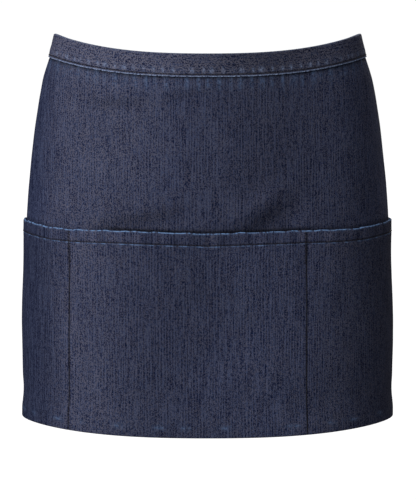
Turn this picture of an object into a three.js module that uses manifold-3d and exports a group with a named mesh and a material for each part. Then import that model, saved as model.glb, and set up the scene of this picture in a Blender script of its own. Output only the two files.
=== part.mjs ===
// A short denim waist apron with three pockets, in the form that it takes when it is worn.
// Millimetres, +Z up. The wearer faces -Y. The origin is the middle of the waist, level with
// the middle of the waistband at the front.
// Pieces: body panel, pocket panel, waistband, left and right tie, and the bow at the back.
import * as THREE from "three";
import { mergeVertices } from "three/addons/utils/BufferGeometryUtils.js";
import Module from "manifold-3d";

// Cut sizes of the apron, laid flat
const apronWidth = 610;
const apronLength = 340;
const bandHeight = 21;
const pocketHeight = 181;
const middlePocketWidth = 215;
const pocketHemHeight = 12;
const seamAllowance = 9;
const sideHemWidth = 12;
const bandOverlap = 12;
const tieHeight = 18;

// Cloth
const cloth = 1;
const tieThickness = 2;
const clearance = 0.3;

// Worn form: sizes of the cloth's inner face round the waist and round the hips
const waistHalfWidth = 136.3;
const waistFrontDepth = 93;
const waistBackDepth = 90;
const hipHalfWidth = 165.3;
const hipFrontDepth = 117;
const hipBackDepth = 114;

// The band dips at the front and the back and sits highest at the sides
const bandSideRise = 17;
const bandBackDrop = 8;
const hemSideRise = 10.4;
const lengthLostToSlope = 1.8;

// The apron sits a little to one side of the wearer's middle
const wornShift = -19.5;

// How far the middle pocket's mouth and the side pockets' mouths stand off the body panel
const middlePocketGape = 8;
const sidePocketGape = 0.4;
const mouthSideRise = 10;

// Bow at the back
const knotWidth = 22;
const knotDepth = 15;
const knotHeight = 19;
const knotSeat = 3;
const tieInKnot = 5;
const loopLength = 92;
const loopOpening = 20;
const loopDroop = 46;
const tailLength = 215;
const tailSpread = 34;

// Facets
const panelColumns = 56;
const tieColumns = 6;
const ribbonSteps = 14;
const loopSamples = 720;

// Form of the worn apron at shares of its length. Under side, front and back, 0 is the waist's
// size and 1 the hips' size. square is the exponent of the rounded outline, 2 for an ellipse.
const sections = [
  { at: 0.0, side: 0.0, front: 0.0, back: 0.0, square: 2.1 },
  { at: 0.06, side: 0.175, front: 0.12, back: 0.14, square: 2.12 },
  { at: 0.12, side: 0.395, front: 0.29, back: 0.34, square: 2.15 },
  { at: 0.22, side: 0.595, front: 0.55, back: 0.62, square: 2.2 },
  { at: 0.32, side: 0.735, front: 0.76, back: 0.82, square: 2.25 },
  { at: 0.46, side: 0.89, front: 0.93, back: 0.97, square: 2.3 },
  { at: 0.62, side: 0.955, front: 1.0, back: 1.02, square: 2.3 },
  { at: 0.76, side: 1.01, front: 1.02, back: 1.02, square: 2.3 },
  { at: 0.89, side: 0.99, front: 1.01, back: 1.0, square: 2.3 },
  { at: 0.95, side: 0.935, front: 0.99, back: 0.98, square: 2.3 },
  { at: 1.0, side: 0.945, front: 0.98, back: 0.97, square: 2.3 },
];

// Rise of the pockets' mouth from the front's middle to the sides, as shares of mouthSideRise
const mouthLine = [
  { across: 0.0, rise: 0.0 },
  { across: 0.25, rise: 0.13 },
  { across: 0.5, rise: 0.24 },
  { across: 0.72, rise: 0.27 },
  { across: 0.84, rise: 0.38 },
  { across: 0.93, rise: 0.62 },
  { across: 1.0, rise: 0.85 },
];

// Soft folds of the body panel. across is a share of half the apron's width from the front's
// middle, down a share of its length. height is in cloth thicknesses, negative for a dent, and
// spread is the half width of the fold as a share of the length.
const bodyFolds = [
  { name: "crease under the band", across0: -0.4, down0: 0.145, across1: 0.03, down1: 0.095, height: -1.3, spread: 0.022 },
  { name: "swell over the crease", across0: -0.34, down0: 0.095, across1: -0.06, down1: 0.075, height: 0.7, spread: 0.02 },
  { name: "slanting fold at the right", across0: 0.13, down0: 0.452, across1: 0.31, down1: 0.335, height: 1.9, spread: 0.026 },
  { name: "hollow beside the slanting fold", across0: 0.16, down0: 0.475, across1: 0.34, down1: 0.375, height: -1.3, spread: 0.022 },
  { name: "hollow into the left mouth", across0: -0.37, down0: 0.475, across1: -0.07, down1: 0.43, height: -1.8, spread: 0.032 },
];

// Soft folds of the pocket panel, in the same columns
const pocketFolds = [
  { name: "flute left of the middle", across0: -0.28, down0: 0.6, across1: -0.28, down1: 0.93, height: -0.9, spread: 0.04 },
  { name: "slanting swell", across0: -0.06, down0: 0.87, across1: 0.24, down1: 0.7, height: 1.1, spread: 0.07 },
  { name: "flute at the right seam", across0: 0.36, down0: 0.6, across1: 0.36, down1: 0.93, height: -0.6, spread: 0.03 },
];

const denim = { color: 0x2b3048, roughness: 0.9, metalness: 0 };
const denimPale = { color: 0x363a50, roughness: 0.9, metalness: 0 };

const mix = (a, b, t) => a + (b - a) * t;
const clamp01 = (t) => Math.min(1, Math.max(0, t));
const smooth = (t) => clamp01(t) ** 2 * (3 - 2 * clamp01(t));

// A smooth curve through a table's rows, with no overshoot between them.
function along(table, key, column, at) {
  const last = table.length - 1;
  const x = clamp01((at - table[0][key]) / (table[last][key] - table[0][key]));
  const target = mix(table[0][key], table[last][key], x);
  const span = (i) => table[i + 1][key] - table[i][key];
  const slope = (i) => (table[i + 1][column] - table[i][column]) / span(i);
  const tangent = (i) => {
    if (i === 0) return slope(0);
    if (i === last) return slope(last - 1);
    const before = slope(i - 1);
    const after = slope(i);
    return before * after <= 0 ? 0 : (2 * before * after) / (before + after);
  };
  let i = 0;
  while (i < last - 1 && table[i + 1][key] <= target) i += 1;
  const h = span(i);
  const t = (target - table[i][key]) / h;
  return (
    (2 * t ** 3 - 3 * t ** 2 + 1) * table[i][column] +
    (t ** 3 - 2 * t ** 2 + t) * h * tangent(i) +
    (3 * t ** 2 - 2 * t ** 3) * table[i + 1][column] +
    (t ** 3 - t ** 2) * h * tangent(i + 1)
  );
}

// Half of the outline at a share of the length, from the front's middle round one side to the
// back's middle, with the distance walked to each point.
const outlines = new Map();
function outlineAt(share) {
  const known = outlines.get(share);
  if (known) return known;
  const side = mix(waistHalfWidth, hipHalfWidth, along(sections, "at", "side", share));
  const front = mix(waistFrontDepth, hipFrontDepth, along(sections, "at", "front", share));
  const back = mix(waistBackDepth, hipBackDepth, along(sections, "at", "back", share));
  const power = 2 / along(sections, "at", "square", share);
  const points = [];
  let walked = 0;
  for (let i = 0; i <= loopSamples; i += 1) {
    const angle = (Math.PI * i) / loopSamples;
    const depth = angle <= Math.PI / 2 ? -front : back;
    const x = side * Math.abs(Math.sin(angle)) ** power;
    const y = depth * Math.abs(Math.cos(angle)) ** power;
    const before = points[i - 1];
    if (before) walked += Math.hypot(x - before.x, y - before.y);
    points.push({ x, y, walked });
  }
  const made = { side, points, half: walked };
  outlines.set(share, made);
  return made;
}

// Height that a rim gains from the front's middle to where it stands, as a share of its rise.
const rimRise = (across) => 0.35 * across ** 2 + 0.65 * across ** 3.2;
const frontTop = bandHeight / 2;
const topHeight = (across, behind) =>
  frontTop + bandSideRise * rimRise(across) - (behind ? bandBackDrop * (1 - across ** 2) : 0);
const hemHeight = (across) =>
  frontTop - apronLength + lengthLostToSlope + hemSideRise * rimRise(across);

// Where a point of the worn cloth's inner face stands: walk is the distance round from the
// front's middle, and share how far down the length it lies.
function standsAt(walk, share) {
  const { side, points, half } = outlineAt(share);
  const far = Math.min(Math.abs(walk), half);
  let low = 0;
  let high = points.length - 1;
  while (high - low > 1) {
    const middle = (low + high) >> 1;
    if (points[middle].walked <= far) low = middle;
    else high = middle;
  }
  const t = (far - points[low].walked) / (points[high].walked - points[low].walked);
  const x = mix(points[low].x, points[high].x, t);
  const y = mix(points[low].y, points[high].y, t);
  const across = Math.min(1, x / side);
  const z = mix(topHeight(across, y > 0), hemHeight(across), share);
  return { point: new THREE.Vector3(Math.sign(walk) * x, y, z), across, behind: y > 0 };
}

// The same point moved out of the surface by a distance, negative towards the wearer.
const walkStep = 0.8;
const shareStep = 0.004;
function offForm(walk, share, out) {
  const { point } = standsAt(walk, share);
  const round = standsAt(walk + walkStep, share).point.sub(standsAt(walk - walkStep, share).point);
  const above = Math.max(0, share - shareStep);
  const down = standsAt(walk, share + shareStep).point.sub(standsAt(walk, above).point);
  return point.addScaledVector(down.cross(round).normalize(), out);
}

// Height of the folds in a table at a place on the apron.
function foldsAt(folds, fromMiddle, down) {
  const u = fromMiddle / (apronWidth / 2);
  const v = down / apronLength;
  const widthPerLength = apronWidth / 2 / apronLength;
  return folds.reduce((sum, f) => {
    const runX = (f.across1 - f.across0) * widthPerLength;
    const runY = f.down1 - f.down0;
    const toX = (u - f.across0) * widthPerLength;
    const toY = v - f.down0;
    const reach = (toX * runX + toY * runY) / (runX ** 2 + runY ** 2);
    const near = clamp01(reach);
    const off = Math.hypot(toX - near * runX, toY - near * runY) / f.spread;
    const fade = 0.35 + 0.65 * Math.sin(Math.PI * near);
    return sum + f.height * cloth * fade * Math.exp(-0.5 * off ** 2);
  }, 0);
}

// Share of the length at which the pockets' mouth runs
function mouthShare(walk) {
  const { across, behind } = standsAt(walk, 1 - pocketHeight / apronLength);
  const rise = along(mouthLine, "across", "rise", behind ? 1 : across);
  const frontMouth = mix(topHeight(0, false), hemHeight(0), 1 - pocketHeight / apronLength);
  const height = frontMouth + mouthSideRise * rise;
  const top = topHeight(across, behind);
  return (top - height) / (top - hemHeight(across));
}

// How far the pocket panel stands off its seams: widest in the middle of each pocket's mouth,
// nothing at the seams, and closing towards the bottom.
const seamAt = middlePocketWidth / 2;
const halfWidth = apronWidth / 2;
function gapeAt(fromMiddle, closed) {
  const far = Math.abs(fromMiddle);
  const inMiddle = far < seamAt;
  const across = inMiddle ? far / seamAt : Math.abs((2 * (far - seamAt)) / (halfWidth - seamAt) - 1);
  const widest = inMiddle ? middlePocketGape : sidePocketGape;
  return widest * (1 - clamp01(across) ** 2.5) * (1 - clamp01(closed)) ** 1.3;
}

// Closed mesh from points and four-cornered faces, each cut along its shorter diagonal, with
// any further triangles given as they are.
function meshFrom(points, quads, triangles = []) {
  const faces = quads.flatMap(([a, b, c, d]) => {
    const cutAC = points[a].distanceToSquared(points[c]) <= points[b].distanceToSquared(points[d]);
    return cutAC ? [a, b, c, a, c, d] : [a, b, d, b, c, d];
  });
  const geometry = new THREE.BufferGeometry();
  geometry.setAttribute("position", new THREE.Float32BufferAttribute(points.flatMap((p) => p.toArray()), 3));
  geometry.setIndex([...faces, ...triangles]);
  return geometry;
}

// A piece of cloth with an outer and an inner face over a grid of places, closed all round.
// place(c, r) gives { walk, share, outer, inner } at column c and row r.
function clothPiece(columns, rows, place) {
  const points = [];
  const outerAt = (c, r) => 2 * (r * (columns + 1) + c);
  const innerAt = (c, r) => outerAt(c, r) + 1;
  for (let r = 0; r <= rows; r += 1)
    for (let c = 0; c <= columns; c += 1) {
      const { walk, share, outer, inner } = place(c, r);
      points.push(offForm(walk, share, outer), offForm(walk, share, inner));
    }
  const quads = [];
  const quad = (a, b, c, d) => quads.push([a, b, c, d]);
  for (let r = 0; r < rows; r += 1)
    for (let c = 0; c < columns; c += 1) {
      quad(outerAt(c, r), outerAt(c, r + 1), outerAt(c + 1, r + 1), outerAt(c + 1, r));
      quad(innerAt(c, r), innerAt(c + 1, r), innerAt(c + 1, r + 1), innerAt(c, r + 1));
    }
  for (let c = 0; c < columns; c += 1) {
    quad(outerAt(c, 0), outerAt(c + 1, 0), innerAt(c + 1, 0), innerAt(c, 0));
    quad(outerAt(c + 1, rows), outerAt(c, rows), innerAt(c, rows), innerAt(c + 1, rows));
  }
  for (let r = 0; r < rows; r += 1) {
    quad(outerAt(0, r + 1), outerAt(0, r), innerAt(0, r), innerAt(0, r + 1));
    quad(outerAt(columns, r), outerAt(columns, r + 1), innerAt(columns, r + 1), innerAt(columns, r));
  }
  return meshFrom(points, quads);
}

// A solid swept through rings of points, with its two ends closed. flat gives the ring as a
// flat outline, from which the ends are filled.
function sweptPiece(rings, flat) {
  const size = rings[0].length;
  const points = rings.flat();
  const quads = [];
  const triangles = [];
  for (let k = 0; k < rings.length - 1; k += 1)
    for (let i = 0; i < size; i += 1) {
      const a = k * size + i;
      const b = k * size + ((i + 1) % size);
      quads.push([a, b, b + size, a + size]);
    }
  const last = (rings.length - 1) * size;
  const ringTurns = THREE.ShapeUtils.isClockWise(flat);
  for (const face of THREE.ShapeUtils.triangulateShape(flat, [])) {
    const sameTurn = THREE.ShapeUtils.isClockWise(face.map((i) => flat[i])) === ringTurns;
    const [a, b, c] = sameTurn ? face : [...face].reverse();
    triangles.push(c, b, a);
    triangles.push(last + a, last + b, last + c);
  }
  return meshFrom(points, quads, triangles);
}

// Distances from the front's middle at which a panel's columns stand, with a pair of columns
// close together where each side hem begins.
const hemStep = 0.5;
const hemStart = halfWidth - sideHemWidth;
const hemColumns = [hemStart, hemStart + hemStep, halfWidth - sideHemWidth / 2, halfWidth];
function panelColumnPlaces() {
  const left = hemColumns.map((place) => -place).reverse();
  const plain = panelColumns - 2 * (hemColumns.length - 1);
  const between = [];
  for (let i = 1; i < plain; i += 1) between.push(mix(-hemStart, hemStart, i / plain));
  return [...left, ...between, ...hemColumns];
}
const columnPlaces = panelColumnPlaces();
const isSideHem = (fromMiddle) => Math.abs(fromMiddle) > hemStart + hemStep / 2;

// Body panel: its top edge is inside the band, its side hems are turned in behind it, and its
// lower seam allowance is turned up in front, inside the pockets.
const bodyTopRows = 15;
const bodyLowRows = 5;
function bodyPanel() {
  const top = (bandHeight - bandOverlap) / apronLength;
  const underBand = (bandHeight + clearance) / apronLength;
  const step = hemStep / apronLength;
  const allowance = 1 - seamAllowance / apronLength;
  const rowsToMouth = bodyTopRows + 2;
  const rowsToSeam = rowsToMouth + bodyLowRows;
  const rowShare = (walk, r) => {
    const mouth = mouthShare(walk);
    if (r < 2) return [top, underBand][r];
    if (r <= rowsToMouth) return mix(underBand + step, mouth, (r - 2) / bodyTopRows);
    if (r <= rowsToSeam) return mix(mouth, allowance, (r - rowsToMouth) / bodyLowRows);
    return [allowance + step, 1][r - rowsToSeam - 1];
  };
  return clothPiece(columnPlaces.length - 1, rowsToSeam + 2, (c, r) => {
    const fromMiddle = columnPlaces[c];
    const walk = fromMiddle + wornShift;
    const share = rowShare(walk, r);
    const underBandBy = share - underBand;
    const inBand = smooth((underBandBy * apronLength) / bandHeight);
    const inSeam = 1 - smooth((share - mouthShare(walk)) / 0.12);
    const fold = foldsAt(bodyFolds, fromMiddle, share * apronLength) * inBand * inSeam;
    const layersBehind = isSideHem(fromMiddle) && r > 1 ? 2 * cloth : 0;
    const turnedUp = r > rowsToSeam ? cloth : 0;
    return { walk, share, outer: cloth + fold + turnedUp, inner: fold - layersBehind };
  });
}

// Pocket panel: one strip over the whole width, with its top hem and its lower seam allowance
// turned in behind it.
const pocketRows = 7;
function pocketPanel() {
  const hem = pocketHemHeight / apronLength;
  const allowance = 1 - seamAllowance / apronLength;
  const step = hemStep / apronLength;
  const rowShare = (walk, r) => {
    const mouth = mouthShare(walk);
    if (r === 0) return mouth;
    if (r === 1) return mouth + hem;
    if (r <= pocketRows + 2) return mix(mouth + hem + step, allowance, (r - 2) / pocketRows);
    return r === pocketRows + 3 ? allowance + step : 1;
  };
  return clothPiece(columnPlaces.length - 1, pocketRows + 4, (c, r) => {
    const fromMiddle = columnPlaces[c];
    const walk = fromMiddle + wornShift;
    const share = rowShare(walk, r);
    const mouth = mouthShare(walk);
    const closed = (share - mouth) / (1 - mouth);
    const fold = foldsAt(pocketFolds, fromMiddle, share * apronLength);
    const hemLift = cloth * (1 - smooth((share - mouth) / (3 * hem)));
    const seamLift = 2 * cloth * smooth((share - allowance + 2 * hem) / (2 * hem));
    const inTopHem = r <= 1;
    const inSeam = r > pocketRows + 2;
    const fadeFold = smooth((1 - share) / 0.1) * smooth((share - mouth) / 0.06);
    const seat = cloth + clearance + gapeAt(fromMiddle, closed) + Math.max(0, fold * fadeFold);
    const outer = seat + cloth + hemLift + seamLift;
    const layers = inTopHem || inSeam ? 2 : 1;
    return { walk, share, outer, inner: outer - layers * cloth };
  });
}

// Waistband: a strip folded over the body panel's top edge. Its inner leg stands further in at
// the two ends, where a tie's tongue is caught beside the panel.
function waistband() {
  const legOut = cloth + clearance;
  const face = legOut + cloth;
  const rounding = cloth + clearance;
  const tongueRoom = cloth + clearance;
  const ringAt = (legIn) => [
    { out: legOut, down: bandHeight },
    { out: legOut, down: rounding + cloth / 2 },
    { out: mix(legOut, legIn, 0.5), down: cloth },
    { out: legIn, down: rounding + cloth / 2 },
    { out: legIn, down: bandHeight },
    { out: legIn - cloth, down: bandHeight },
    { out: legIn - cloth, down: bandHeight / 2 },
    { out: legIn - cloth, down: rounding },
    { out: mix(face, legIn - cloth, 0.8), down: rounding * 0.2 },
    { out: mix(face, legIn - cloth, 0.5), down: 0 },
    { out: mix(face, legIn - cloth, 0.2), down: rounding * 0.2 },
    { out: face, down: rounding },
    { out: face, down: bandHeight / 2 },
    { out: face, down: bandHeight },
  ];
  const rings = columnPlaces.map((fromMiddle) => {
    const toEnd = halfWidth - Math.abs(fromMiddle);
    const widened = 1 - smooth((toEnd - sideHemWidth - cloth) / sideHemWidth);
    const legIn = -clearance - tongueRoom * widened;
    return ringAt(legIn).map(({ out, down }) => offForm(fromMiddle + wornShift, down / apronLength, out));
  });
  const flat = ringAt(-clearance - tongueRoom).map(({ out, down }) => new THREE.Vector2(out, down));
  return sweptPiece(rings, flat);
}

// Joining and cutting of closed geometries
const wasm = await Module();
wasm.setup();
function solidOf(geometry) {
  const bare = new THREE.BufferGeometry();
  bare.setAttribute("position", geometry.attributes.position);
  bare.setIndex(geometry.index);
  const merged = mergeVertices(bare, 1e-3);
  return new wasm.Manifold(
    new wasm.Mesh({
      numProp: 3,
      vertProperties: merged.attributes.position.array,
      triVerts: new Uint32Array(merged.index.array),
    }),
  );
}
function geometryOf(solid) {
  const { vertProperties, triVerts } = solid.getMesh();
  const geometry = new THREE.BufferGeometry();
  geometry.setAttribute("position", new THREE.BufferAttribute(vertProperties, 3));
  geometry.setIndex(new THREE.BufferAttribute(triVerts, 1));
  return geometry;
}

// The knot: a rounded block behind the wearer, made larger all round by a distance
const tieMiddleShare = (bandHeight - clearance - tieHeight / 2) / apronLength;
const knotCentre = offForm(outlineAt(tieMiddleShare).half, tieMiddleShare, knotSeat);
function knotBlock(grow) {
  const block = new THREE.SphereGeometry(1, 16, 10);
  block.rotateX(Math.PI / 2);
  const spots = block.attributes.position;
  const boxy = (value, size) => Math.sign(value) * Math.abs(value) ** 0.75 * (size / 2 + grow);
  for (let i = 0; i < spots.count; i += 1) {
    const x = boxy(spots.getX(i), knotWidth);
    const y = boxy(spots.getY(i), knotDepth);
    const z = boxy(spots.getZ(i), knotHeight);
    spots.setXYZ(i, knotCentre.x + x, knotCentre.y + y, knotCentre.z + z);
  }
  return solidOf(block);
}

// A tie: its thin tongue is caught in the band's end beside the side hem, and it runs round
// the waist into a seat in the knot, gathered to the knot's height.
const tieRows = 2;
function tie(side) {
  const tongueIn = -cloth - clearance;
  const tongue = [...hemColumns.slice(0, -1), halfWidth + clearance];
  const columns = tongue.length + tieColumns;
  const whole = clothPiece(columns, tieRows, (c, r) => {
    const step = side > 0 ? c : columns - c;
    const inBand = step < tongue.length;
    const round = inBand ? 0 : (step - tongue.length) / tieColumns;
    const height = mix(tieHeight, 0.6 * knotHeight, smooth(round));
    const share = tieMiddleShare + (height * (r / tieRows - 0.5)) / apronLength;
    const bandEnd = side * (halfWidth + clearance + hemStep) + wornShift;
    const end = side * (outlineAt(share).half - knotWidth / 2 + tieInKnot);
    const walk = inBand ? side * tongue[step] + wornShift : mix(bandEnd, end, round);
    return { walk, share, outer: inBand ? -clearance : tongueIn + tieThickness, inner: tongueIn };
  });
  return geometryOf(solidOf(whole).subtract(knotBlock(clearance)));
}

// A flat ribbon along a path. widthAt gives the ribbon's half width as a vector at a share of
// the path, and the thickness lies square to both.
function ribbon(path, widthAt, thickness) {
  const curve = new THREE.CatmullRomCurve3(path);
  const rings = [];
  for (let k = 0; k <= ribbonSteps; k += 1) {
    const t = k / ribbonSteps;
    const point = curve.getPointAt(t);
    const half = widthAt(t);
    const lift = curve.getTangentAt(t).cross(half).normalize().multiplyScalar(thickness / 2);
    const corner = (a, b) => point.clone().addScaledVector(half, a).addScaledVector(lift, b);
    rings.push([corner(1, 1), corner(-1, 1), corner(-1, -1), corner(1, -1)]);
  }
  const flat = [[1, 1], [-1, 1], [-1, -1], [1, -1]].map(([x, y]) => new THREE.Vector2(x, y));
  return sweptPiece(rings, flat);
}

// The bow: a round knot over the crossed ties, a loop to each side and two hanging tails.
function bow() {
  const at = (x, y, z) => new THREE.Vector3(x, y, z).add(knotCentre);
  const narrow = 0.3 * knotHeight;
  const full = tieHeight / 2;
  const ribbons = [];
  for (const side of [-1, 1]) {
    const loopPath = [
      at(0, 1, 0),
      at(side * loopLength * 0.3, 2, -loopDroop * 0.16),
      at(side * loopLength * 0.7, 3, -loopDroop * 0.6),
      at(side * loopLength * 0.97, loopOpening * 0.35, -loopDroop * 0.96),
      at(side * loopLength, loopOpening * 0.65, -loopDroop),
      at(side * loopLength * 0.72, loopOpening, -loopDroop * 0.62),
      at(side * loopLength * 0.3, loopOpening * 0.55, -loopDroop * 0.2),
      at(0, 4, 0),
    ];
    const upright = new THREE.Vector3(side * loopDroop, 0, loopLength).normalize();
    const loopWidth = (t) => upright.clone().multiplyScalar(mix(narrow, full, Math.sin(Math.PI * t) ** 0.6));
    ribbons.push(ribbon(loopPath, loopWidth, tieThickness));
    const tailPath = [
      at(0, 0.5, 0),
      at(side * tailSpread * 0.2, 2.5 + side, -tailLength * 0.12),
      at(side * tailSpread * 0.5, 4 + side * 1.5, -tailLength * 0.4),
      at(side * tailSpread * 0.8, 7 + side * 2, -tailLength * 0.72),
      at(side * tailSpread, 8 + side * 2, -tailLength),
    ];
    const level = new THREE.Vector3(1, 0, 0);
    const tailWidth = (t) => level.clone().multiplyScalar(mix(narrow, full, smooth(t / 0.3)));
    ribbons.push(ribbon(tailPath, tailWidth, tieThickness));
  }
  return geometryOf(ribbons.reduce((whole, made) => whole.add(solidOf(made)), knotBlock(0)));
}

function named(name, geometry, finish) {
  const mesh = new THREE.Mesh(geometry, new THREE.MeshStandardMaterial(finish));
  mesh.name = name;
  return mesh;
}

const apron = new THREE.Group();
apron.name = "waist_apron";
apron.add(
  named("body_panel", bodyPanel(), denim),
  named("pocket_panel", pocketPanel(), denim),
  named("waistband", waistband(), denimPale),
  named("tie_left", tie(-1), denimPale),
  named("tie_right", tie(1), denimPale),
  named("tie_bow", bow(), denimPale),
);

export default apron;
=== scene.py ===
"""A short denim waist apron with three pockets, dressed in the form that it takes when worn."""

import math

import bpy
import numpy as np
from bpy.props import FloatProperty, FloatVectorProperty, PointerProperty
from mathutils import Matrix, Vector


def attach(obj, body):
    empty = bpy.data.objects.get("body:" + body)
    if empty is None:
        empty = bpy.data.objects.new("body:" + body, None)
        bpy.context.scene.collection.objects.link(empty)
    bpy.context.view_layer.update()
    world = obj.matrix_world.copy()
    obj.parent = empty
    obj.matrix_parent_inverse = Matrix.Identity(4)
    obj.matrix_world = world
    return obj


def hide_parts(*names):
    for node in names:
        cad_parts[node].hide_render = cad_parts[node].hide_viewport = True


bl_info = {
    "name": "Denim waist apron",
    "version": (1, 0, 0),
    "blender": (4, 5, 0),
    "location": "3D View > Sidebar > Apron",
    "description": "Sews a three-pocket denim waist apron round open hips",
    "category": "Add Mesh",
}

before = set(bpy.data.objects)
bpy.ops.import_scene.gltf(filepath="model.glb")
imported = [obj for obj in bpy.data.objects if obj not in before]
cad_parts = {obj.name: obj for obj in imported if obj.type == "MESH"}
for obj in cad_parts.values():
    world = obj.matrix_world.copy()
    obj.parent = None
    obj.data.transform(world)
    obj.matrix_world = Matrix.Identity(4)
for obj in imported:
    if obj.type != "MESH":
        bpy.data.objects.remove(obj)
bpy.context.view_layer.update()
ROOT_BODY = "root"

# Form of the worn apron at shares of its length. Under side, front and back, 0 is the waist's
# size and 1 the hips' size. square is the exponent of the rounded outline, 2 for an ellipse.
SECTIONS = [
    {"at": 0.0, "side": 0.0, "front": 0.0, "back": 0.0, "square": 2.1},
    {"at": 0.06, "side": 0.175, "front": 0.12, "back": 0.14, "square": 2.12},
    {"at": 0.12, "side": 0.395, "front": 0.29, "back": 0.34, "square": 2.15},
    {"at": 0.22, "side": 0.595, "front": 0.55, "back": 0.62, "square": 2.2},
    {"at": 0.32, "side": 0.735, "front": 0.76, "back": 0.82, "square": 2.25},
    {"at": 0.46, "side": 0.89, "front": 0.93, "back": 0.97, "square": 2.3},
    {"at": 0.62, "side": 0.955, "front": 1.0, "back": 1.02, "square": 2.3},
    {"at": 0.76, "side": 1.01, "front": 1.02, "back": 1.02, "square": 2.3},
    {"at": 0.89, "side": 0.99, "front": 1.01, "back": 1.0, "square": 2.3},
    {"at": 0.95, "side": 0.935, "front": 0.99, "back": 0.98, "square": 2.3},
    {"at": 1.0, "side": 0.945, "front": 0.98, "back": 0.97, "square": 2.3},
]

# Rise of the pockets' mouth from the front's middle to the sides, as shares of its whole rise
MOUTH_LINE = [
    {"at": 0.0, "rise": 0.0},
    {"at": 0.25, "rise": 0.13},
    {"at": 0.5, "rise": 0.24},
    {"at": 0.72, "rise": 0.27},
    {"at": 0.84, "rise": 0.38},
    {"at": 0.93, "rise": 0.62},
    {"at": 1.0, "rise": 0.85},
]

# Soft folds. across is a share of half the apron's width from its middle, down a share of its
# length, height is in cloth thicknesses and spread a share of the length.
BODY_FOLDS = [
    {"across": (-0.4, 0.03), "down": (0.145, 0.095), "height": -1.3, "spread": 0.022},
    {"across": (-0.34, -0.06), "down": (0.095, 0.075), "height": 0.7, "spread": 0.02},
    {"across": (0.13, 0.31), "down": (0.452, 0.335), "height": 1.9, "spread": 0.026},
    {"across": (0.16, 0.34), "down": (0.475, 0.375), "height": -1.3, "spread": 0.022},
    {"across": (-0.37, -0.07), "down": (0.475, 0.43), "height": -1.8, "spread": 0.032},
]
POCKET_FOLDS = [
    {"across": (-0.28, -0.28), "down": (0.6, 0.93), "height": -0.9, "spread": 0.04},
    {"across": (-0.06, 0.24), "down": (0.87, 0.7), "height": 1.1, "spread": 0.07},
    {"across": (0.36, 0.36), "down": (0.6, 0.93), "height": -0.6, "spread": 0.03},
]

# Slow swells of the cloth: length of the wave along the width and along the length, where it
# starts as a share of a wave, and its height in cloth thicknesses.
SWELLS = [
    {"width": 0.083, "length": 0.31, "start": 0.1, "height": 0.16},
    {"width": -0.061, "length": 0.142, "start": 0.45, "height": 0.12},
    {"width": 0.038, "length": -0.21, "start": 0.72, "height": 0.07},
    {"width": 0.027, "length": 0.055, "start": 0.3, "height": 0.05},
    {"width": -0.019, "length": 0.034, "start": 0.9, "height": 0.035},
]

# How washing faded the denim, with painted sheen and painted shade laid over it, given at the
# turns of
# the fade from the left side to the right: at is a share of half the apron's width from its
# middle, washed, partly real fade and partly painted sheen where the side light falls, is 1 where
# the most weft shows, and dark is painted shade, how much darker than the rest the cloth is drawn;
# below 0 it is painted light.
FADE_SHEEN_AND_SHADE_BODY = [
    {"at": -1.0, "washed": 0.3, "dark": 0.0},
    {"at": -0.55, "washed": 0.05, "dark": -0.15},
    {"at": -0.36, "washed": 0.95, "dark": -0.1},
    {"at": -0.2, "washed": 0.95, "dark": -0.05},
    {"at": 0.0, "washed": 0.65, "dark": 0.05},
    {"at": 0.25, "washed": 0.75, "dark": 0.3},
    {"at": 0.45, "washed": 0.8, "dark": 0.05},
    {"at": 1.0, "washed": 0.7, "dark": -0.05},
]
FADE_SHEEN_AND_SHADE_POCKETS = [
    {"at": -1.0, "washed": 0.3, "dark": 0.1},
    {"at": -0.6, "washed": 0.0, "dark": 0.05},
    {"at": -0.45, "washed": 0.35, "dark": 0.1},
    {"at": -0.34, "washed": 0.95, "dark": -0.1},
    {"at": -0.05, "washed": 0.6, "dark": 0.15},
    {"at": 0.3, "washed": 0.7, "dark": -0.15},
    {"at": 0.5, "washed": 0.95, "dark": 0.15},
    {"at": 0.8, "washed": 0.8, "dark": 0.5},
    {"at": 1.0, "washed": 0.7, "dark": 0.4},
]
# Painted shade across the band from the left side to the right, painted light where dark is below
# 0
PAINTED_SHADE_BAND = [
    {"at": -1.0, "dark": 0.0},
    {"at": -0.4, "dark": -0.15},
    {"at": -0.15, "dark": -0.1},
    {"at": 0.25, "dark": 0.45},
    {"at": 0.5, "dark": 0.05},
    {"at": 1.0, "dark": 0.05},
]

# Painted shadow on the panel right above the pockets' gaping mouth, from the left side to the
# right
PAINTED_MOUTH_SHADOW = [
    {"at": -1.0, "dark": 0.5},
    {"at": -0.45, "dark": 0.4},
    {"at": -0.3, "dark": 0.1},
    {"at": -0.2, "dark": 1.0},
    {"at": 0.25, "dark": 1.0},
    {"at": 0.5, "dark": 0.6},
    {"at": 1.0, "dark": 0.6},
]

# Painted shade over the soft folds and hollows, or painted light where dark is below 0, laid out
# as the folds are
PAINTED_FOLD_SHADE_BODY = [
    {"across": (-0.3, -0.11), "down": (0.148, 0.128), "dark": 0.3, "spread": 0.011},
    {"across": (-0.09, 0.08), "down": (0.122, 0.092), "dark": 0.2, "spread": 0.01},
    {"across": (-0.24, 0.02), "down": (0.1, 0.075), "dark": -0.12, "spread": 0.018},
    {"across": (-0.28, 0.0), "down": (0.466, 0.405), "dark": 0.42, "spread": 0.016},
    {"across": (0.18, 0.31), "down": (0.4, 0.325), "dark": -0.2, "spread": 0.013},
    {"across": (0.16, 0.3), "down": (0.465, 0.4), "dark": 0.3, "spread": 0.013},
    {"across": (0.31, 0.36), "down": (0.455, 0.42), "dark": -0.3, "spread": 0.016},
]
PAINTED_FOLD_SHADE_POCKETS = [
    {"across": (-0.02, 0.28), "down": (0.482, 0.482), "dark": 0.22, "spread": 0.018},
    {"across": (0.0, 0.12), "down": (0.55, 0.68), "dark": 0.12, "spread": 0.055},
    {"across": (0.0, 0.24), "down": (0.93, 0.72), "dark": -0.2, "spread": 0.045},
    {"across": (0.28, 0.42), "down": (0.93, 0.86), "dark": 0.14, "spread": 0.04},
]

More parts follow.
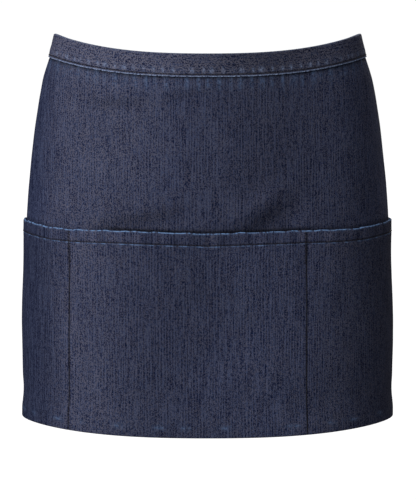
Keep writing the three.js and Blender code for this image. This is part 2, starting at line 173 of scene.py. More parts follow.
# Where the rows of stitching run, in from the edge or fold that each one holds
BAND_STITCH = 0.0021
HEM_STITCH = 0.0012
SIDE_HEM_STITCH = 0.0012
SIDE_SEAM = 0.003
TACK_BESIDE_SEAM = 0.0016
TACK_LENGTH = 0.030

# How far a turned edge of cloth takes to step down to a single layer
PANEL_TURN_STEP = 0.0005
POCKET_TURN_STEP = 0.0006

# Half of the flat strip that the bow is tied from
RIBBON_HALF_WIDTH = 0.009

# How fine the cloth's meshes are
CLOTH_STEP = 0.0026
OUTLINE_SHARES = 401
OUTLINE_STEPS = 1201
EDGE_STEPS = (0.0, 0.0002, 0.0006, 0.0012)
SEAM_STEPS = (-0.0016, -0.0009, -0.0004, 0.0, 0.0004, 0.0009, 0.0016)


class CutSizes(bpy.types.PropertyGroup):
    """Sizes that the cloth was cut and sewn to, laid flat."""

    apron_width: FloatProperty(
        name="Apron width", description="Side to side, laid flat", default=0.610, unit="LENGTH"
    )
    apron_length: FloatProperty(
        name="Apron length", description="Band's top to hem", default=0.340, unit="LENGTH"
    )
    band_height: FloatProperty(
        name="Band height", description="Finished height of the waistband",
        default=0.021, unit="LENGTH",
    )
    band_overlap: FloatProperty(
        name="Band overlap", description="Panel caught inside the band",
        default=0.012, unit="LENGTH",
    )
    pocket_height: FloatProperty(
        name="Pocket height", description="Pocket strip, mouth to hem",
        default=0.181, unit="LENGTH",
    )
    middle_pocket_width: FloatProperty(
        name="Middle pocket width", description="Between the two upright seams",
        default=0.215, unit="LENGTH",
    )
    pocket_hem_height: FloatProperty(
        name="Pocket hem", description="Turned hem along the mouth", default=0.012, unit="LENGTH"
    )
    seam_allowance: FloatProperty(
        name="Seam allowance", description="Turned in along the bottom",
        default=0.009, unit="LENGTH",
    )
    side_hem_width: FloatProperty(
        name="Side hem", description="Turned hem down each side", default=0.012, unit="LENGTH"
    )
    tie_height: FloatProperty(
        name="Tie height", description="Width of the folded tie", default=0.018, unit="LENGTH"
    )
    cloth: FloatProperty(
        name="Cloth", description="Thickness of one layer", default=0.001, unit="LENGTH"
    )
    tie_thickness: FloatProperty(
        name="Tie thickness", description="Folded tie", default=0.002, unit="LENGTH"
    )
    clearance: FloatProperty(
        name="Clearance", description="Kept between neighbouring pieces",
        default=0.0003, unit="LENGTH",
    )


class WornSizes(bpy.types.PropertyGroup):
    """Sizes of the form that the worn cloth keeps."""

    waist_half_width: FloatProperty(
        name="Waist half width", description="Middle to side", default=0.1363, unit="LENGTH"
    )
    waist_front_depth: FloatProperty(
        name="Waist front", description="Middle to front", default=0.093, unit="LENGTH"
    )
    waist_back_depth: FloatProperty(
        name="Waist back", description="Middle to back", default=0.090, unit="LENGTH"
    )
    hip_half_width: FloatProperty(
        name="Hip half width", description="Middle to side", default=0.1653, unit="LENGTH"
    )
    hip_front_depth: FloatProperty(
        name="Hip front", description="Middle to front", default=0.117, unit="LENGTH"
    )
    hip_back_depth: FloatProperty(
        name="Hip back", description="Middle to back", default=0.114, unit="LENGTH"
    )
    band_side_rise: FloatProperty(
        name="Band rise", description="Band's sides over its front", default=0.017, unit="LENGTH"
    )
    band_back_drop: FloatProperty(
        name="Band back drop", description="Band's back under its front",
        default=0.008, unit="LENGTH",
    )
    hem_side_rise: FloatProperty(
        name="Hem rise", description="Hem's sides over its front", default=0.0104, unit="LENGTH"
    )
    lost_to_slope: FloatProperty(
        name="Length lost", description="Height lost to the cloth's slope",
        default=0.0018, unit="LENGTH",
    )
    mouth_side_rise: FloatProperty(
        name="Mouth rise", description="Pockets' mouth at the sides", default=0.010, unit="LENGTH"
    )
    worn_shift: FloatProperty(
        name="Worn shift", description="Apron's middle from the wearer's",
        default=-0.0195, unit="LENGTH",
    )
    middle_gape: FloatProperty(
        name="Middle gape", description="Middle pocket's mouth off the panel",
        default=0.008, unit="LENGTH",
    )
    side_gape: FloatProperty(
        name="Side gape", description="Side pockets' mouths off the panel",
        default=0.0004, unit="LENGTH",
    )


class BowSizes(bpy.types.PropertyGroup):
    """Sizes of the knot, loops and tails behind the wearer."""

    knot_width: FloatProperty(
        name="Knot width", description="Side to side", default=0.022, unit="LENGTH"
    )
    knot_depth: FloatProperty(
        name="Knot depth", description="Front to back", default=0.015, unit="LENGTH"
    )
    knot_height: FloatProperty(
        name="Knot height", description="Top to bottom", default=0.019, unit="LENGTH"
    )
    knot_seat: FloatProperty(
        name="Knot seat", description="Knot's middle off the form", default=0.003, unit="LENGTH"
    )
    tie_in_knot: FloatProperty(
        name="Tie in knot", description="Tie's end inside the knot", default=0.005, unit="LENGTH"
    )
    loop_length: FloatProperty(
        name="Loop length", description="Knot to bend", default=0.092, unit="LENGTH"
    )
    loop_opening: FloatProperty(
        name="Loop opening", description="Front to back", default=0.020, unit="LENGTH"
    )
    loop_droop: FloatProperty(
        name="Loop droop", description="Bend under the knot", default=0.046, unit="LENGTH"
    )
    tail_length: FloatProperty(
        name="Tail length", description="Under the knot", default=0.215, unit="LENGTH"
    )
    tail_spread: FloatProperty(
        name="Tail spread", description="Tail's end aside", default=0.034, unit="LENGTH"
    )


class DenimLooks(bpy.types.PropertyGroup):
    """Colours and yarns of the denim."""

    deep_indigo: FloatVectorProperty(
        name="Deep indigo", description="Darkest warp",
        default=(0.004, 0.008, 0.034), subtype="COLOR",
    )
    indigo: FloatVectorProperty(
        name="Indigo", description="Paler warp", default=(0.051, 0.066, 0.129), subtype="COLOR"
    )
    weft: FloatVectorProperty(
        name="Weft", description="Weft that shows as flecks",
        default=(0.12, 0.121, 0.168), subtype="COLOR",
    )
    worn_blue: FloatVectorProperty(
        name="Worn blue", description="Edges rubbed pale",
        default=(0.2, 0.345, 0.62), subtype="COLOR",
    )
    pale_edge: FloatVectorProperty(
        name="Pale edge", description="The band's rubbed edges",
        default=(0.36, 0.47, 0.72), subtype="COLOR",
    )
    reverse: FloatVectorProperty(
        name="Reverse", description="Wrong side of the cloth",
        default=(0.15, 0.155, 0.19), subtype="COLOR",
    )
    thread: FloatVectorProperty(
        name="Thread", description="Stitching", default=(0.007, 0.005, 0.008), subtype="COLOR"
    )
    slub_width: FloatProperty(
        name="Slub width", description="Width of an upright streak", default=0.00085, unit="LENGTH"
    )
    slub_length: FloatProperty(
        name="Slub length", description="Length of an upright streak", default=0.03, unit="LENGTH"
    )
    fleck_size: FloatProperty(
        name="Fleck size", description="Size of a weft fleck", default=0.0009, unit="LENGTH"
    )
    twill_pitch: FloatProperty(
        name="Twill pitch", description="Between two lines of the twill",
        default=0.0011, unit="LENGTH",
    )
    rib_pitch: FloatProperty(
        name="Rib pitch", description="Between two upright ribs", default=0.0026, unit="LENGTH"
    )
    stitch_pitch: FloatProperty(
        name="Stitch pitch", description="From stitch to stitch", default=0.0024, unit="LENGTH"
    )
    thread_thickness: FloatProperty(
        name="Thread thickness", description="Across a stitch", default=0.0007, unit="LENGTH"
    )


class StudioSettings(bpy.types.PropertyGroup):
    """Camera, lights and floor."""

    camera_distance: FloatProperty(
        name="Camera distance", description="From the apron's middle", default=4.0, unit="LENGTH"
    )
    camera_elevation: FloatProperty(
        name="Camera elevation", description="Over the horizon",
        default=math.radians(3.0), subtype="ANGLE",
    )
    aim_height: FloatProperty(
        name="Aim height", description="Height that the camera looks at",
        default=-0.1675, unit="LENGTH",
    )
    pixels_per_metre: FloatProperty(
        name="Scale", description="Picture's pixels in a metre at the aim", default=1105.0
    )
    picture_height: FloatProperty(
        name="Picture height", description="Longer side of the picture in pixels", default=499.0
    )
    midline_shift: FloatProperty(
        name="Midline shift", description="Picture's middle right of the apron's, in pixels",
        default=0.45,
    )
    floor_drop: FloatProperty(
        name="Floor drop", description="Floor under the waist, as when worn",
        default=1.05, unit="LENGTH",
    )
    key_power: FloatProperty(name="Side light", description="Softbox at the left", default=31.5)
    fill_power: FloatProperty(
        name="Front light", description="Softbox right of the camera", default=2.6
    )
    back_power: FloatProperty(name="Back light", description="Behind, for the ties", default=13.0)
    sky_strength: FloatProperty(name="Sky", description="Light from all round", default=0.185)


def mix(a, b, t):
    return a + (b - a) * t


def smooth(t):
    t = np.clip(t, 0.0, 1.0)
    return t * t * (3.0 - 2.0 * t)


def near(away, reach):
    """1 on a line, and next to nothing at twice the reach away from it."""
    return np.exp(-((away / reach) ** 2))


def through(rows, column, at):
    """A smooth curve through a table's rows, with no overshoot between them."""
    x = np.array([row["at"] for row in rows])
    y = np.array([row[column] for row in rows])
    span = np.diff(x)
    slope = np.diff(y) / span
    before, after = slope[:-1], slope[1:]
    both = before + after
    inner = np.where(before * after > 0, 2 * before * after / np.where(both == 0, 1, both), 0.0)
    tangent = np.concatenate([slope[:1], inner, slope[-1:]])
    at = np.clip(at, x[0], x[-1])
    i = np.clip(np.searchsorted(x, at, side="right") - 1, 0, len(span) - 1)
    h = span[i]
    t = (at - x[i]) / h
    return (
        (2 * t**3 - 3 * t**2 + 1) * y[i]
        + (t**3 - 2 * t**2 + t) * h * tangent[i]
        + (3 * t**2 - 2 * t**3) * y[i + 1]
        + (t**3 - t**2) * h * tangent[i + 1]
    )


def ripple(at, pitch, seed):
    """An uneven wave between -1 and 1, about one crest for each pitch."""
    turn = 2 * math.pi * at / pitch
    return (
        0.5 * np.sin(turn + seed)
        + 0.3 * np.sin(1.63 * turn + 2.1 * seed)
        + 0.2 * np.sin(0.57 * turn + 3.7 * seed)
    )


class Apron:
    """Where each point of the sewn and worn cloth stands.

    across is the distance from the apron's middle, walk the distance round from the wearer's
    front, and share how far down the length a point lies, from 0 to 1.
    """

    def __init__(self, scene):
        self.cut = scene.apron_cut
        self.worn = scene.apron_worn
        self.half_width = self.cut.apron_width / 2
        self.seam_at = self.cut.middle_pocket_width / 2
        self.hem_start = self.half_width - self.cut.side_hem_width
        self.front_top = self.cut.band_height / 2
        self.allowance = 1 - self.cut.seam_allowance / self.cut.apron_length
        self.shares = np.linspace(0.0, 1.0, OUTLINE_SHARES)
        self.walk_outlines()

    def walk_outlines(self):
        """Half of each outline, front to back, at even shares of the way round."""
        worn = self.worn
        self.side = mix(
            worn.waist_half_width, worn.hip_half_width, through(SECTIONS, "side", self.shares)
        )
        front = mix(
            worn.waist_front_depth, worn.hip_front_depth, through(SECTIONS, "front", self.shares)
        )
        back = mix(
            worn.waist_back_depth, worn.hip_back_depth, through(SECTIONS, "back", self.shares)
        )
        power = (2.0 / through(SECTIONS, "square", self.shares))[:, None]
        angle = np.linspace(0.0, math.pi, OUTLINE_STEPS)
        depth = np.where(angle <= math.pi / 2, -front[:, None], back[:, None])
        x = self.side[:, None] * np.abs(np.sin(angle)) ** power
        y = depth * np.abs(np.cos(angle)) ** power
        steps = np.hypot(np.diff(x), np.diff(y))
        walked = np.concatenate([np.zeros((OUTLINE_SHARES, 1)), np.cumsum(steps, axis=1)], axis=1)
        self.half = walked[:, -1]
        even = np.linspace(0.0, 1.0, OUTLINE_STEPS)
        self.x = np.array([np.interp(even * w[-1], w, row) for w, row in zip(walked, x)])
        self.y = np.array([np.interp(even * w[-1], w, row) for w, row in zip(walked, y)])

    def half_at(self, share):
        return np.interp(share, self.shares, self.half)

    def between(self, table, share, way):
        """A value of a table of outlines, straight between its four nearest points."""
        row = np.clip(share, 0, 1) * (OUTLINE_SHARES - 1)
        column = np.clip(way, 0, 1) * (OUTLINE_STEPS - 1)
        r = np.minimum(row.astype(int), OUTLINE_SHARES - 2)
        c = np.minimum(column.astype(int), OUTLINE_STEPS - 2)
        upper = mix(table[r, c], table[r, c + 1], column - c)
        lower = mix(table[r + 1, c], table[r + 1, c + 1], column - c)
        return mix(upper, lower, row - r)

    def rim_rise(self, out_to_side):
        return 0.35 * out_to_side**2 + 0.65 * out_to_side**3.2

    def top_height(self, out_to_side, behind):
        drop = np.where(behind, self.worn.band_back_drop * (1 - out_to_side**2), 0.0)
        return self.front_top + self.worn.band_side_rise * self.rim_rise(out_to_side) - drop

    def hem_height(self, out_to_side):
        lowest = self.front_top - self.cut.apron_length + self.worn.lost_to_slope
        return lowest + self.worn.hem_side_rise * self.rim_rise(out_to_side)

    def plan(self, walk, share):
        """x, y and how far out to the side a point stands, seen from above."""
        walk, share = np.broadcast_arrays(np.asarray(walk, float), np.asarray(share, float))
        way = np.minimum(np.abs(walk) / self.half_at(share), 1.0)
        x = self.between(self.x, share, way)
        y = self.between(self.y, share, way)
        out_to_side = np.minimum(x / np.interp(share, self.shares, self.side), 1.0)
        return np.sign(walk) * x, y, out_to_side

    def stand(self, walk, share):
        """Points of the worn cloth's inner face."""
        x, y, out_to_side = self.plan(walk, share)
        top = self.top_height(out_to_side, y > 0)
        return np.stack([x, y, mix(top, self.hem_height(out_to_side), share)], axis=-1)

    def outward(self, walk, share):
        """Directions square to the worn cloth, away from the wearer."""
        near_walk, near_share = 0.0008, 0.004
        share = np.asarray(share, float)
        round_it = self.stand(walk + near_walk, share) - self.stand(walk - near_walk, share)
        above = np.maximum(share - near_share, 0.0)
        below = np.minimum(share + near_share, 1.0)
        down = self.stand(walk, below) - self.stand(walk, above)
        out = np.cross(down, round_it)
        return out / np.linalg.norm(out, axis=-1, keepdims=True)

    def off(self, across, share, out):
        """Points at a distance out of the form, at a place on the apron."""
        walk = across + self.worn.worn_shift
        return self.stand(walk, share) + self.outward(walk, share) * np.asarray(out)[..., None]

    def mouth_share(self, across):
        """Share of the length at which the pockets' mouth runs."""
        walk = across + self.worn.worn_shift
        level = 1 - self.cut.pocket_height / self.cut.apron_length
        _, y, out_to_side = self.plan(walk, level)
        rise = through(MOUTH_LINE, "rise", np.where(y > 0, 1.0, out_to_side))
        in_front = mix(self.top_height(0.0, False), self.hem_height(0.0), level)
        top = self.top_height(out_to_side, y > 0)
        height = in_front + self.worn.mouth_side_rise * rise
        return (top - height) / (top - self.hem_height(out_to_side))

    def marks(self, table, column, across, share):
        """What a table's soft-edged lines add up to at a place on the apron."""
        u = across / self.half_width
        width_per_length = self.half_width / self.cut.apron_length
        total = np.zeros(np.broadcast(u, share).shape)
        for mark in table:
            (u0, u1), (v0, v1) = mark["across"], mark["down"]
            run_x, run_y = (u1 - u0) * width_per_length, v1 - v0
            to_x, to_y = (u - u0) * width_per_length, share - v0
            reach = (to_x * run_x + to_y * run_y) / (run_x**2 + run_y**2)
            near = np.clip(reach, 0, 1)
            off = np.hypot(to_x - near * run_x, to_y - near * run_y) / mark["spread"]
            fade = 0.35 + 0.65 * np.sin(math.pi * near)
            total += mark[column] * fade * np.exp(-0.5 * off**2)
        return total

    def folds(self, table, across, share):
        """Height of a table's folds at a place on the apron."""
        return self.cut.cloth * self.marks(table, "height", across, share)

    def swells(self, across, share):
        """Slow unevenness that the panel and the pockets over it share."""
        down = share * self.cut.apron_length
        height = np.zeros(np.broadcast(across, down).shape)
        for wave in SWELLS:
            turn = across / wave["width"] + down / wave["length"] + wave["start"]
            height += wave["height"] * self.cut.cloth * np.sin(2 * math.pi * turn)
        under_band = smooth((down - self.cut.band_height) / self.cut.band_height)
        return height * under_band * smooth((1 - share) / 0.05)

    def gape(self, across, closed):
        """How far the pockets stand off the panel: nothing at their seams."""
        far = np.abs(across)
        in_middle = far < self.seam_at
        side_way = np.abs(2 * (far - self.seam_at) / (self.half_width - self.seam_at) - 1)
        way = np.where(in_middle, far / self.seam_at, side_way)
        widest = np.where(in_middle, self.worn.middle_gape, self.worn.side_gape)
        return widest * (1 - np.clip(way, 0, 1) ** 2.5) * (1 - np.clip(closed, 0, 1)) ** 1.3

    def body_faces(self, across, share):
        """Outer and inner face of the body panel."""
        cut = self.cut
        length = cut.apron_length
        down = share * length
        mouth = self.mouth_share(across)
        under_band = down - cut.band_height - cut.clearance
        in_band = smooth(under_band / cut.band_height)
        in_seam = 1 - smooth((share - mouth) / 0.12)
        fold = self.folds(BODY_FOLDS, across, share) * in_band * in_seam
        fold = fold + self.swells(across, share)
        band_puckers = 0.3 * ripple(across, 0.0095, 0.4) * near(under_band, 0.009)
        fold = fold + cut.cloth * band_puckers * smooth(under_band / 0.002)
        edge = self.half_width - np.abs(across)
        hem_puckers = ripple(down, 0.0085, 1.9) * near(edge - 0.011, 0.004)
        fold = fold + 0.12 * cut.cloth * hem_puckers * in_band
        at_hem = smooth((np.abs(across) - self.hem_start) / PANEL_TURN_STEP)
        hem = at_hem * smooth(under_band / PANEL_TURN_STEP)
        turned_up = cut.cloth * smooth((share - self.allowance) * length / PANEL_TURN_STEP)
        return cut.cloth + fold + turned_up, fold - 2 * cut.cloth * hem

    def pocket_share(self, across, from_mouth):
        mouth = self.mouth_share(across)
        return mouth + (1 - mouth) * from_mouth / self.cut.pocket_height

    def pocket_faces(self, across, from_mouth):
        """Outer and inner face of the pocket strip."""
        cut = self.cut
        length = cut.apron_length
        share = self.pocket_share(across, from_mouth)
        mouth = self.mouth_share(across)
        hem = cut.pocket_hem_height / length
        closed = (share - mouth) / (1 - mouth)
        fade = smooth((1 - share) / 0.1) * smooth((share - mouth) / 0.06)
        fold = self.folds(POCKET_FOLDS, across, share) * fade
        hem_lift = cut.cloth * (1 - smooth((share - mouth) / (3 * hem)))
        seam_lift = 2 * cut.cloth * smooth((share - self.allowance + 2 * hem) / (2 * hem))
        seat = cut.cloth + cut.clearance + np.maximum(0.0, self.gape(across, closed) + fold)
        outer = seat + cut.cloth + hem_lift + seam_lift + self.swells(across, share)
        outer = outer + cut.cloth * self.pocket_puckers(across, from_mouth)
        in_hem = 1 - smooth((from_mouth - cut.pocket_hem_height) / POCKET_TURN_STEP)
        in_seam = smooth((share - self.allowance) * length / POCKET_TURN_STEP)
        return outer, outer - cut.cloth * (1 + np.maximum(in_hem, in_seam))

    def pocket_puckers(self, across, from_mouth):
        """Puckers beside the pocket's stitching, in cloth thicknesses."""
        cut = self.cut
        stitched = cut.pocket_hem_height - HEM_STITCH
        puckers = 0.26 * ripple(across, 0.0098, 2.7) * near(from_mouth - stitched, 0.0045)
        puckers = puckers - 0.3 * near(from_mouth - stitched, 0.0008)
        top = near(from_mouth, 0.004)
        puckers = puckers + 0.22 * ripple(across, 0.0145, 5.3) * top
        for seam in (-self.seam_at, self.seam_at):
            beside = across - seam
            drawn = ripple(from_mouth + 0.8 * np.abs(beside), 0.0088, 1.3 + seam)
            puckers = puckers + 0.14 * drawn * near(np.abs(beside) - 0.004, 0.0045)
            puckers = puckers - 0.24 * near(beside, 0.0009)
        from_hem = cut.pocket_height - from_mouth
        low = near(from_hem - cut.seam_allowance, 0.006)
        return puckers + 0.2 * ripple(across, 0.0085, 4.1) * low

    def band_face(self, across, down):
        """Outer face of the waistband, with puckers over the panel's caught edge."""
        cut = self.cut
        face = 2 * cut.cloth + cut.clearance
        caught = cut.band_height - 0.0068
        puckers = 0.34 * ripple(across, 0.0098, 3.3) * near(down - caught, 0.0035)
        stitched = cut.band_height - BAND_STITCH
        groove = 0.28 * near(down - stitched, 0.0008)
        return face + cut.cloth * (puckers - groove)


def spaced(start, stop, step):
    """Even places from start to stop, about a step apart."""
    return np.linspace(start, stop, max(2, round((stop - start) / step) + 1))


def with_edges(places, first, last):
    """Adds close places at the two ends, where the cloth's edge is rounded."""
    near = np.array(EDGE_STEPS)
    inside = places[(places > first + near[-1] * 1.5) & (places < last - near[-1] * 1.5)]
    return np.concatenate([first + near, inside, (last - near)[::-1]])


def with_marks(places, marks):
    """Adds places at marks and leaves out the even ones that lie too close to them."""
    marks = np.array(sorted(marks))
    far = np.abs(places[:, None] - marks[None, :]).min(axis=1) > 0.0004
    return np.sort(np.concatenate([places[far], marks]))


def rounded(distance, radius):
    """Share of its full thickness that cloth has at a distance from its rounded edge."""
    t = np.clip(distance / radius, 0, 1)
    return np.maximum(np.sqrt(1 - (1 - t) ** 2), 0.16)


def new_piece(name, vertices, faces, materials, material_index, attributes):
    """A smooth mesh object in the scene, for its caller to set on the part's one body."""
    mesh = bpy.data.meshes.new(name)
    mesh.from_pydata(vertices.tolist(), [], faces)
    for made in materials:
        mesh.materials.append(made)
    mesh.polygons.foreach_set("material_index", np.asarray(material_index, np.int32))
    mesh.polygons.foreach_set("use_smooth", np.ones(len(faces), bool))
    for label, values in attributes.items():
        values = np.asarray(values, np.float32)
        kind = "FLOAT_VECTOR" if values.ndim == 2 else "FLOAT"
        slot = mesh.attributes.new(label, kind, "POINT")
        slot.data.foreach_set("vector" if values.ndim == 2 else "value", values.ravel())
    mesh.validate()
    mesh.update()
    piece = bpy.data.objects.new(name, mesh)
    bpy.context.scene.collection.objects.link(piece)
    return piece


def cloth_piece(name, outer, inner, looks, materials, shows_reverse):
    """A piece of cloth between an outer and an inner face, closed all round.

    outer and inner are grids of points, looks holds grids of what the materials read, and
    shows_reverse says for each column and row whether the inner face is the cloth's reverse.
    """
    rows, columns = outer.shape[:2]
    count = rows * columns
    ids = np.arange(count).reshape(rows, columns)
    a, b, c, d = ids[:-1, :-1], ids[1:, :-1], ids[1:, 1:], ids[:-1, 1:]
    outside = np.stack([a, b, c, d], -1).reshape(-1, 4)
    inside = np.stack([a, d, c, b], -1).reshape(-1, 4) + count
    rims = [
        (ids[0, :-1], ids[0, 1:]),
        (ids[-1, 1:], ids[-1, :-1]),
        (ids[1:, 0], ids[:-1, 0]),
        (ids[:-1, -1], ids[1:, -1]),
    ]
    rim = np.concatenate([np.stack([p, q, q + count, p + count], -1) for p, q in rims])
    faces = np.concatenate([outside, inside, rim]).tolist()
    reverse = shows_reverse[:-1, :-1].ravel().astype(int)
    index = np.concatenate([np.zeros(len(outside), int), reverse, np.zeros(len(rim), int)])
    vertices = np.concatenate([outer.reshape(-1, 3), inner.reshape(-1, 3)])
    attributes = {label: np.concatenate([grid, grid]) for label, grid in flattened(looks).items()}
    return new_piece(name, vertices, faces, materials, index, attributes)


def flattened(looks):
    """Grids of looks as one row for each point."""
    return {
        label: grid.reshape(-1, 3) if grid.ndim == 3 else grid.ravel()
        for label, grid in looks.items()
    }


def looks_of(across, down, **masks):
    """What the materials read at each point: its place on the flat cloth, and masks."""
    across, down = np.broadcast_arrays(across, down)
    looks = {"cloth_place": np.stack([across, down, np.zeros(across.shape)], axis=-1)}
    for label in ("wear", "washed", "kept_dark"):
        looks[label] = np.broadcast_to(masks.get(label, 0.0), across.shape)
    return looks


def swept_piece(name, rings, looks, materials):
    """A solid swept through rings of points, with flat ends."""
    steps, size = rings.shape[:2]
    ids = np.arange(steps * size).reshape(steps, size)
    after = np.roll(ids, -1, axis=1)
    sides = np.stack([ids[:-1], after[:-1], after[1:], ids[1:]], -1).reshape(-1, 4)
    faces = sides.tolist() + [ids[0][::-1].tolist(), ids[-1].tolist()]
    index = np.zeros(len(faces))
    return new_piece(name, rings.reshape(-1, 3), faces, materials, index, flattened(looks))


def panel_columns(apron):
    """Distances from the middle at which a panel's columns stand."""
    half = apron.half_width
    places = with_edges(spaced(-half, half, CLOTH_STEP), -half, half)
    turn = (0.0, PANEL_TURN_STEP)
    marks = [side * (apron.hem_start + step) for side in (-1, 1) for step in turn]
    marks += [side * apron.seam_at + step for side in (-1, 1) for step in SEAM_STEPS]
    return with_marks(places, marks)


def thinned(outer, inner, edge, radius):
    """Both faces drawn together where the cloth's rounded edge is near."""
    middle, half = (outer + inner) / 2, (outer - inner) / 2 * rounded(edge, radius)
    return middle + half, middle - half


def make_body_panel(context):
    """The whole apron's denim, hung from the band, with its side hems turned in."""
    apron = Apron(context.scene)
    cut = apron.cut
    length = cut.apron_length
    across = panel_columns(apron)[None, :]
    top = cut.band_height - cut.band_overlap
    down = with_edges(spaced(top, length, CLOTH_STEP), top, length)
    marks = [cut.band_height + step for step in (0.0003, 0.0008, 0.0014, 0.002)]
    marks += [apron.allowance * length + step for step in (0.0, PANEL_TURN_STEP)]
    share = with_marks(down, marks)[:, None] / length
    outer, inner = apron.body_faces(across, share)
    edge = np.minimum(apron.half_width - np.abs(across), (1 - share) * length)
    outer, inner = thinned(outer, inner, edge, 0.0012)
    wear = 0.5 * near(edge, 0.0009)
    under_band = share * length - cut.band_height
    blue_puckers = smooth(0.9 * ripple(across, 0.0095, 0.4) + 0.2)
    wear = np.maximum(wear, 0.2 * blue_puckers * near(under_band - 0.005, 0.006))
    # Painted shadow just under the band's edge and over the pockets' gaping mouth, laid over the
    # painted shade across the width and over the folds; below 0 it is painted light.
    over_mouth = (apron.mouth_share(across) - share) * length
    kept_dark = near(under_band, 0.0021)
    painted_mouth_shadow = through(PAINTED_MOUTH_SHADOW, "dark", across / apron.half_width)
    kept_dark = np.maximum(0.8 * kept_dark, painted_mouth_shadow * near(over_mouth - 0.0003, 0.0021))
    # Weft fade across the width, partly painted sheen where the side light falls; dark is painted
    # shade across the width and over the folds.
    washed = through(FADE_SHEEN_AND_SHADE_BODY, "washed", across / apron.half_width)
    dark = through(FADE_SHEEN_AND_SHADE_BODY, "dark", across / apron.half_width)
    dark = dark + apron.marks(PAINTED_FOLD_SHADE_BODY, "dark", across, share)
    kept_dark = mix(dark, 1.0, kept_dark)
    turned = np.abs(across) > apron.hem_start
    piece = cloth_piece(
        "body_panel_denim",
        apron.off(across, share, outer),
        apron.off(across, share, inner),
        looks_of(across, share * length, wear=wear, washed=washed, kept_dark=kept_dark),
        [denim("panel_denim"), denim_reverse()],
        np.broadcast_to(~turned, outer.shape),
    )
    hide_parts("body_panel")
    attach(piece, ROOT_BODY)
    return piece


def make_pocket_panel(context):
    """The strip that makes the pockets, with a turned hem along its mouth."""
    apron = Apron(context.scene)
    cut = apron.cut
    across = panel_columns(apron)[None, :]
    height = cut.pocket_height
    down = with_edges(spaced(0.0, height, CLOTH_STEP), 0.0, height)
    hem = cut.pocket_hem_height
    marks = [hem - HEM_STITCH + step for step in SEAM_STEPS]
    marks += [hem + POCKET_TURN_STEP]
    marks += [height - cut.seam_allowance + step for step in (0.0, POCKET_TURN_STEP)]
    from_mouth = with_marks(down, marks)[:, None]
    share = apron.pocket_share(across, from_mouth)
    wave = 0.00045 * ripple(across, 0.024, 4.4) + 0.0002 * ripple(across, 0.009, 2.9)
    share = share + wave * near(from_mouth, 0.006) / cut.apron_length
    outer, inner = apron.pocket_faces(across, from_mouth)
    side = apron.half_width - np.abs(across)
    edge = np.minimum(side, np.minimum(from_mouth, height - from_mouth))
    outer, inner = thinned(outer, inner, edge, 0.0011)
    out_right = smooth((across / apron.half_width - 0.1) / 0.45)
    mouth_wear = (1.02 + 0.4 * out_right) * near(from_mouth, 0.0007)
    stitched = from_mouth - hem
    broken = 0.25 + 0.75 * smooth(1.2 * ripple(across, 0.0135, 2.2) + 0.55)
    hem_wear = 0.52 * broken * near(stitched + 0.0002, 0.00042)
    low = height - from_mouth - cut.seam_allowance
    low_wear = 0.2 * near(low, 0.0012) * smooth(ripple(across, 0.031, 0.9) * 1.6)
    side_wear = 0.4 * near(side, 0.0008)
    wear = np.maximum(np.maximum(mouth_wear, hem_wear), np.maximum(low_wear, side_wear))
    # Painted shade in the grooves beside the upright seams and along the hem's stitching, laid
    # over the painted shade across the width and over the folds; below 0 it is painted light.
    beside_seam = np.minimum(np.abs(across - apron.seam_at), np.abs(across + apron.seam_at))
    under_hem = smooth((from_mouth - hem + 0.002) / 0.002)
    kept_dark = 0.9 * near(beside_seam, 0.00075) * mix(0.4, 1.0, under_hem)
    hem_groove_shade = 0.55 * near(stitched + 0.0016, 0.0006)
    kept_dark = np.maximum(kept_dark, hem_groove_shade)
    # Weft fade across the width, partly painted sheen where the side light falls; dark is painted
    # shade across the width and over the folds.
    washed = through(FADE_SHEEN_AND_SHADE_POCKETS, "washed", across / apron.half_width)
    dark = through(FADE_SHEEN_AND_SHADE_POCKETS, "dark", across / apron.half_width)
    dark = dark + apron.marks(PAINTED_FOLD_SHADE_POCKETS, "dark", across, share)
    kept_dark = mix(dark, 1.0, kept_dark)
    in_hem = 1 - smooth((from_mouth - hem) / 0.001)
    hem_patches = in_hem * ripple(across, 0.021, 1.1)
    washed = washed + 0.3 * hem_patches
    kept_dark = kept_dark - 0.16 * hem_patches
    place_down = cut.apron_length - height + from_mouth
    piece = cloth_piece(
        "pocket_panel_denim",
        apron.off(across, share, outer),
        apron.off(across, share, inner),
        looks_of(across, place_down, wear=wear, washed=washed, kept_dark=kept_dark),
        [denim("pocket_denim"), denim_reverse()],
        np.broadcast_to(from_mouth > hem, outer.shape),
    )
    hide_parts("pocket_panel")
    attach(piece, ROOT_BODY)
    return piece


def band_outline(apron, leg_in):
    """The band's outline across its length: out and down at each point, anticlockwise."""
    cut = apron.cut
    cloth, height = cut.cloth, cut.band_height
    leg_out = cloth + cut.clearance
    face, back = leg_out + cloth, leg_in - cloth
    fold = cloth + cut.clearance
    turn = np.linspace(0, math.pi, 9)
    middle, reach = (face + back) / 2, (face - back) / 2
    over = [(middle - np.cos(t) * reach, fold * (1 - math.sin(t))) for t in turn]
    inner_side = [(leg_out, height - 0.0004), (leg_out, fold + cloth / 2)]
    inner_side += [((leg_out + leg_in) / 2, cloth), (leg_in, fold + cloth / 2)]
    inner_side += [(leg_in, height - 0.0004)]
    back_foot = [(mix(leg_in, back, 0.3), height), (mix(leg_in, back, 0.7), height)]
    rises = [height - 0.0004, 0.0185, 0.0155, 0.012, 0.008, 0.004]
    back_side = [(back, down) for down in rises]
    face_rows = [0.0025, 0.0045, 0.0065, 0.0085, 0.0105, 0.0125, 0.0137, 0.0149]
    face_rows += [0.0161, 0.0173, 0.018, 0.0185, 0.0189, 0.0193, 0.0198, 0.0203]
    face_side = [(face, down) for down in face_rows + [height - 0.0004]]
    face_foot = [(mix(face, leg_out, 0.3), height), (mix(face, leg_out, 0.7), height)]
    return np.array(inner_side + back_foot + back_side + over + face_side + face_foot)


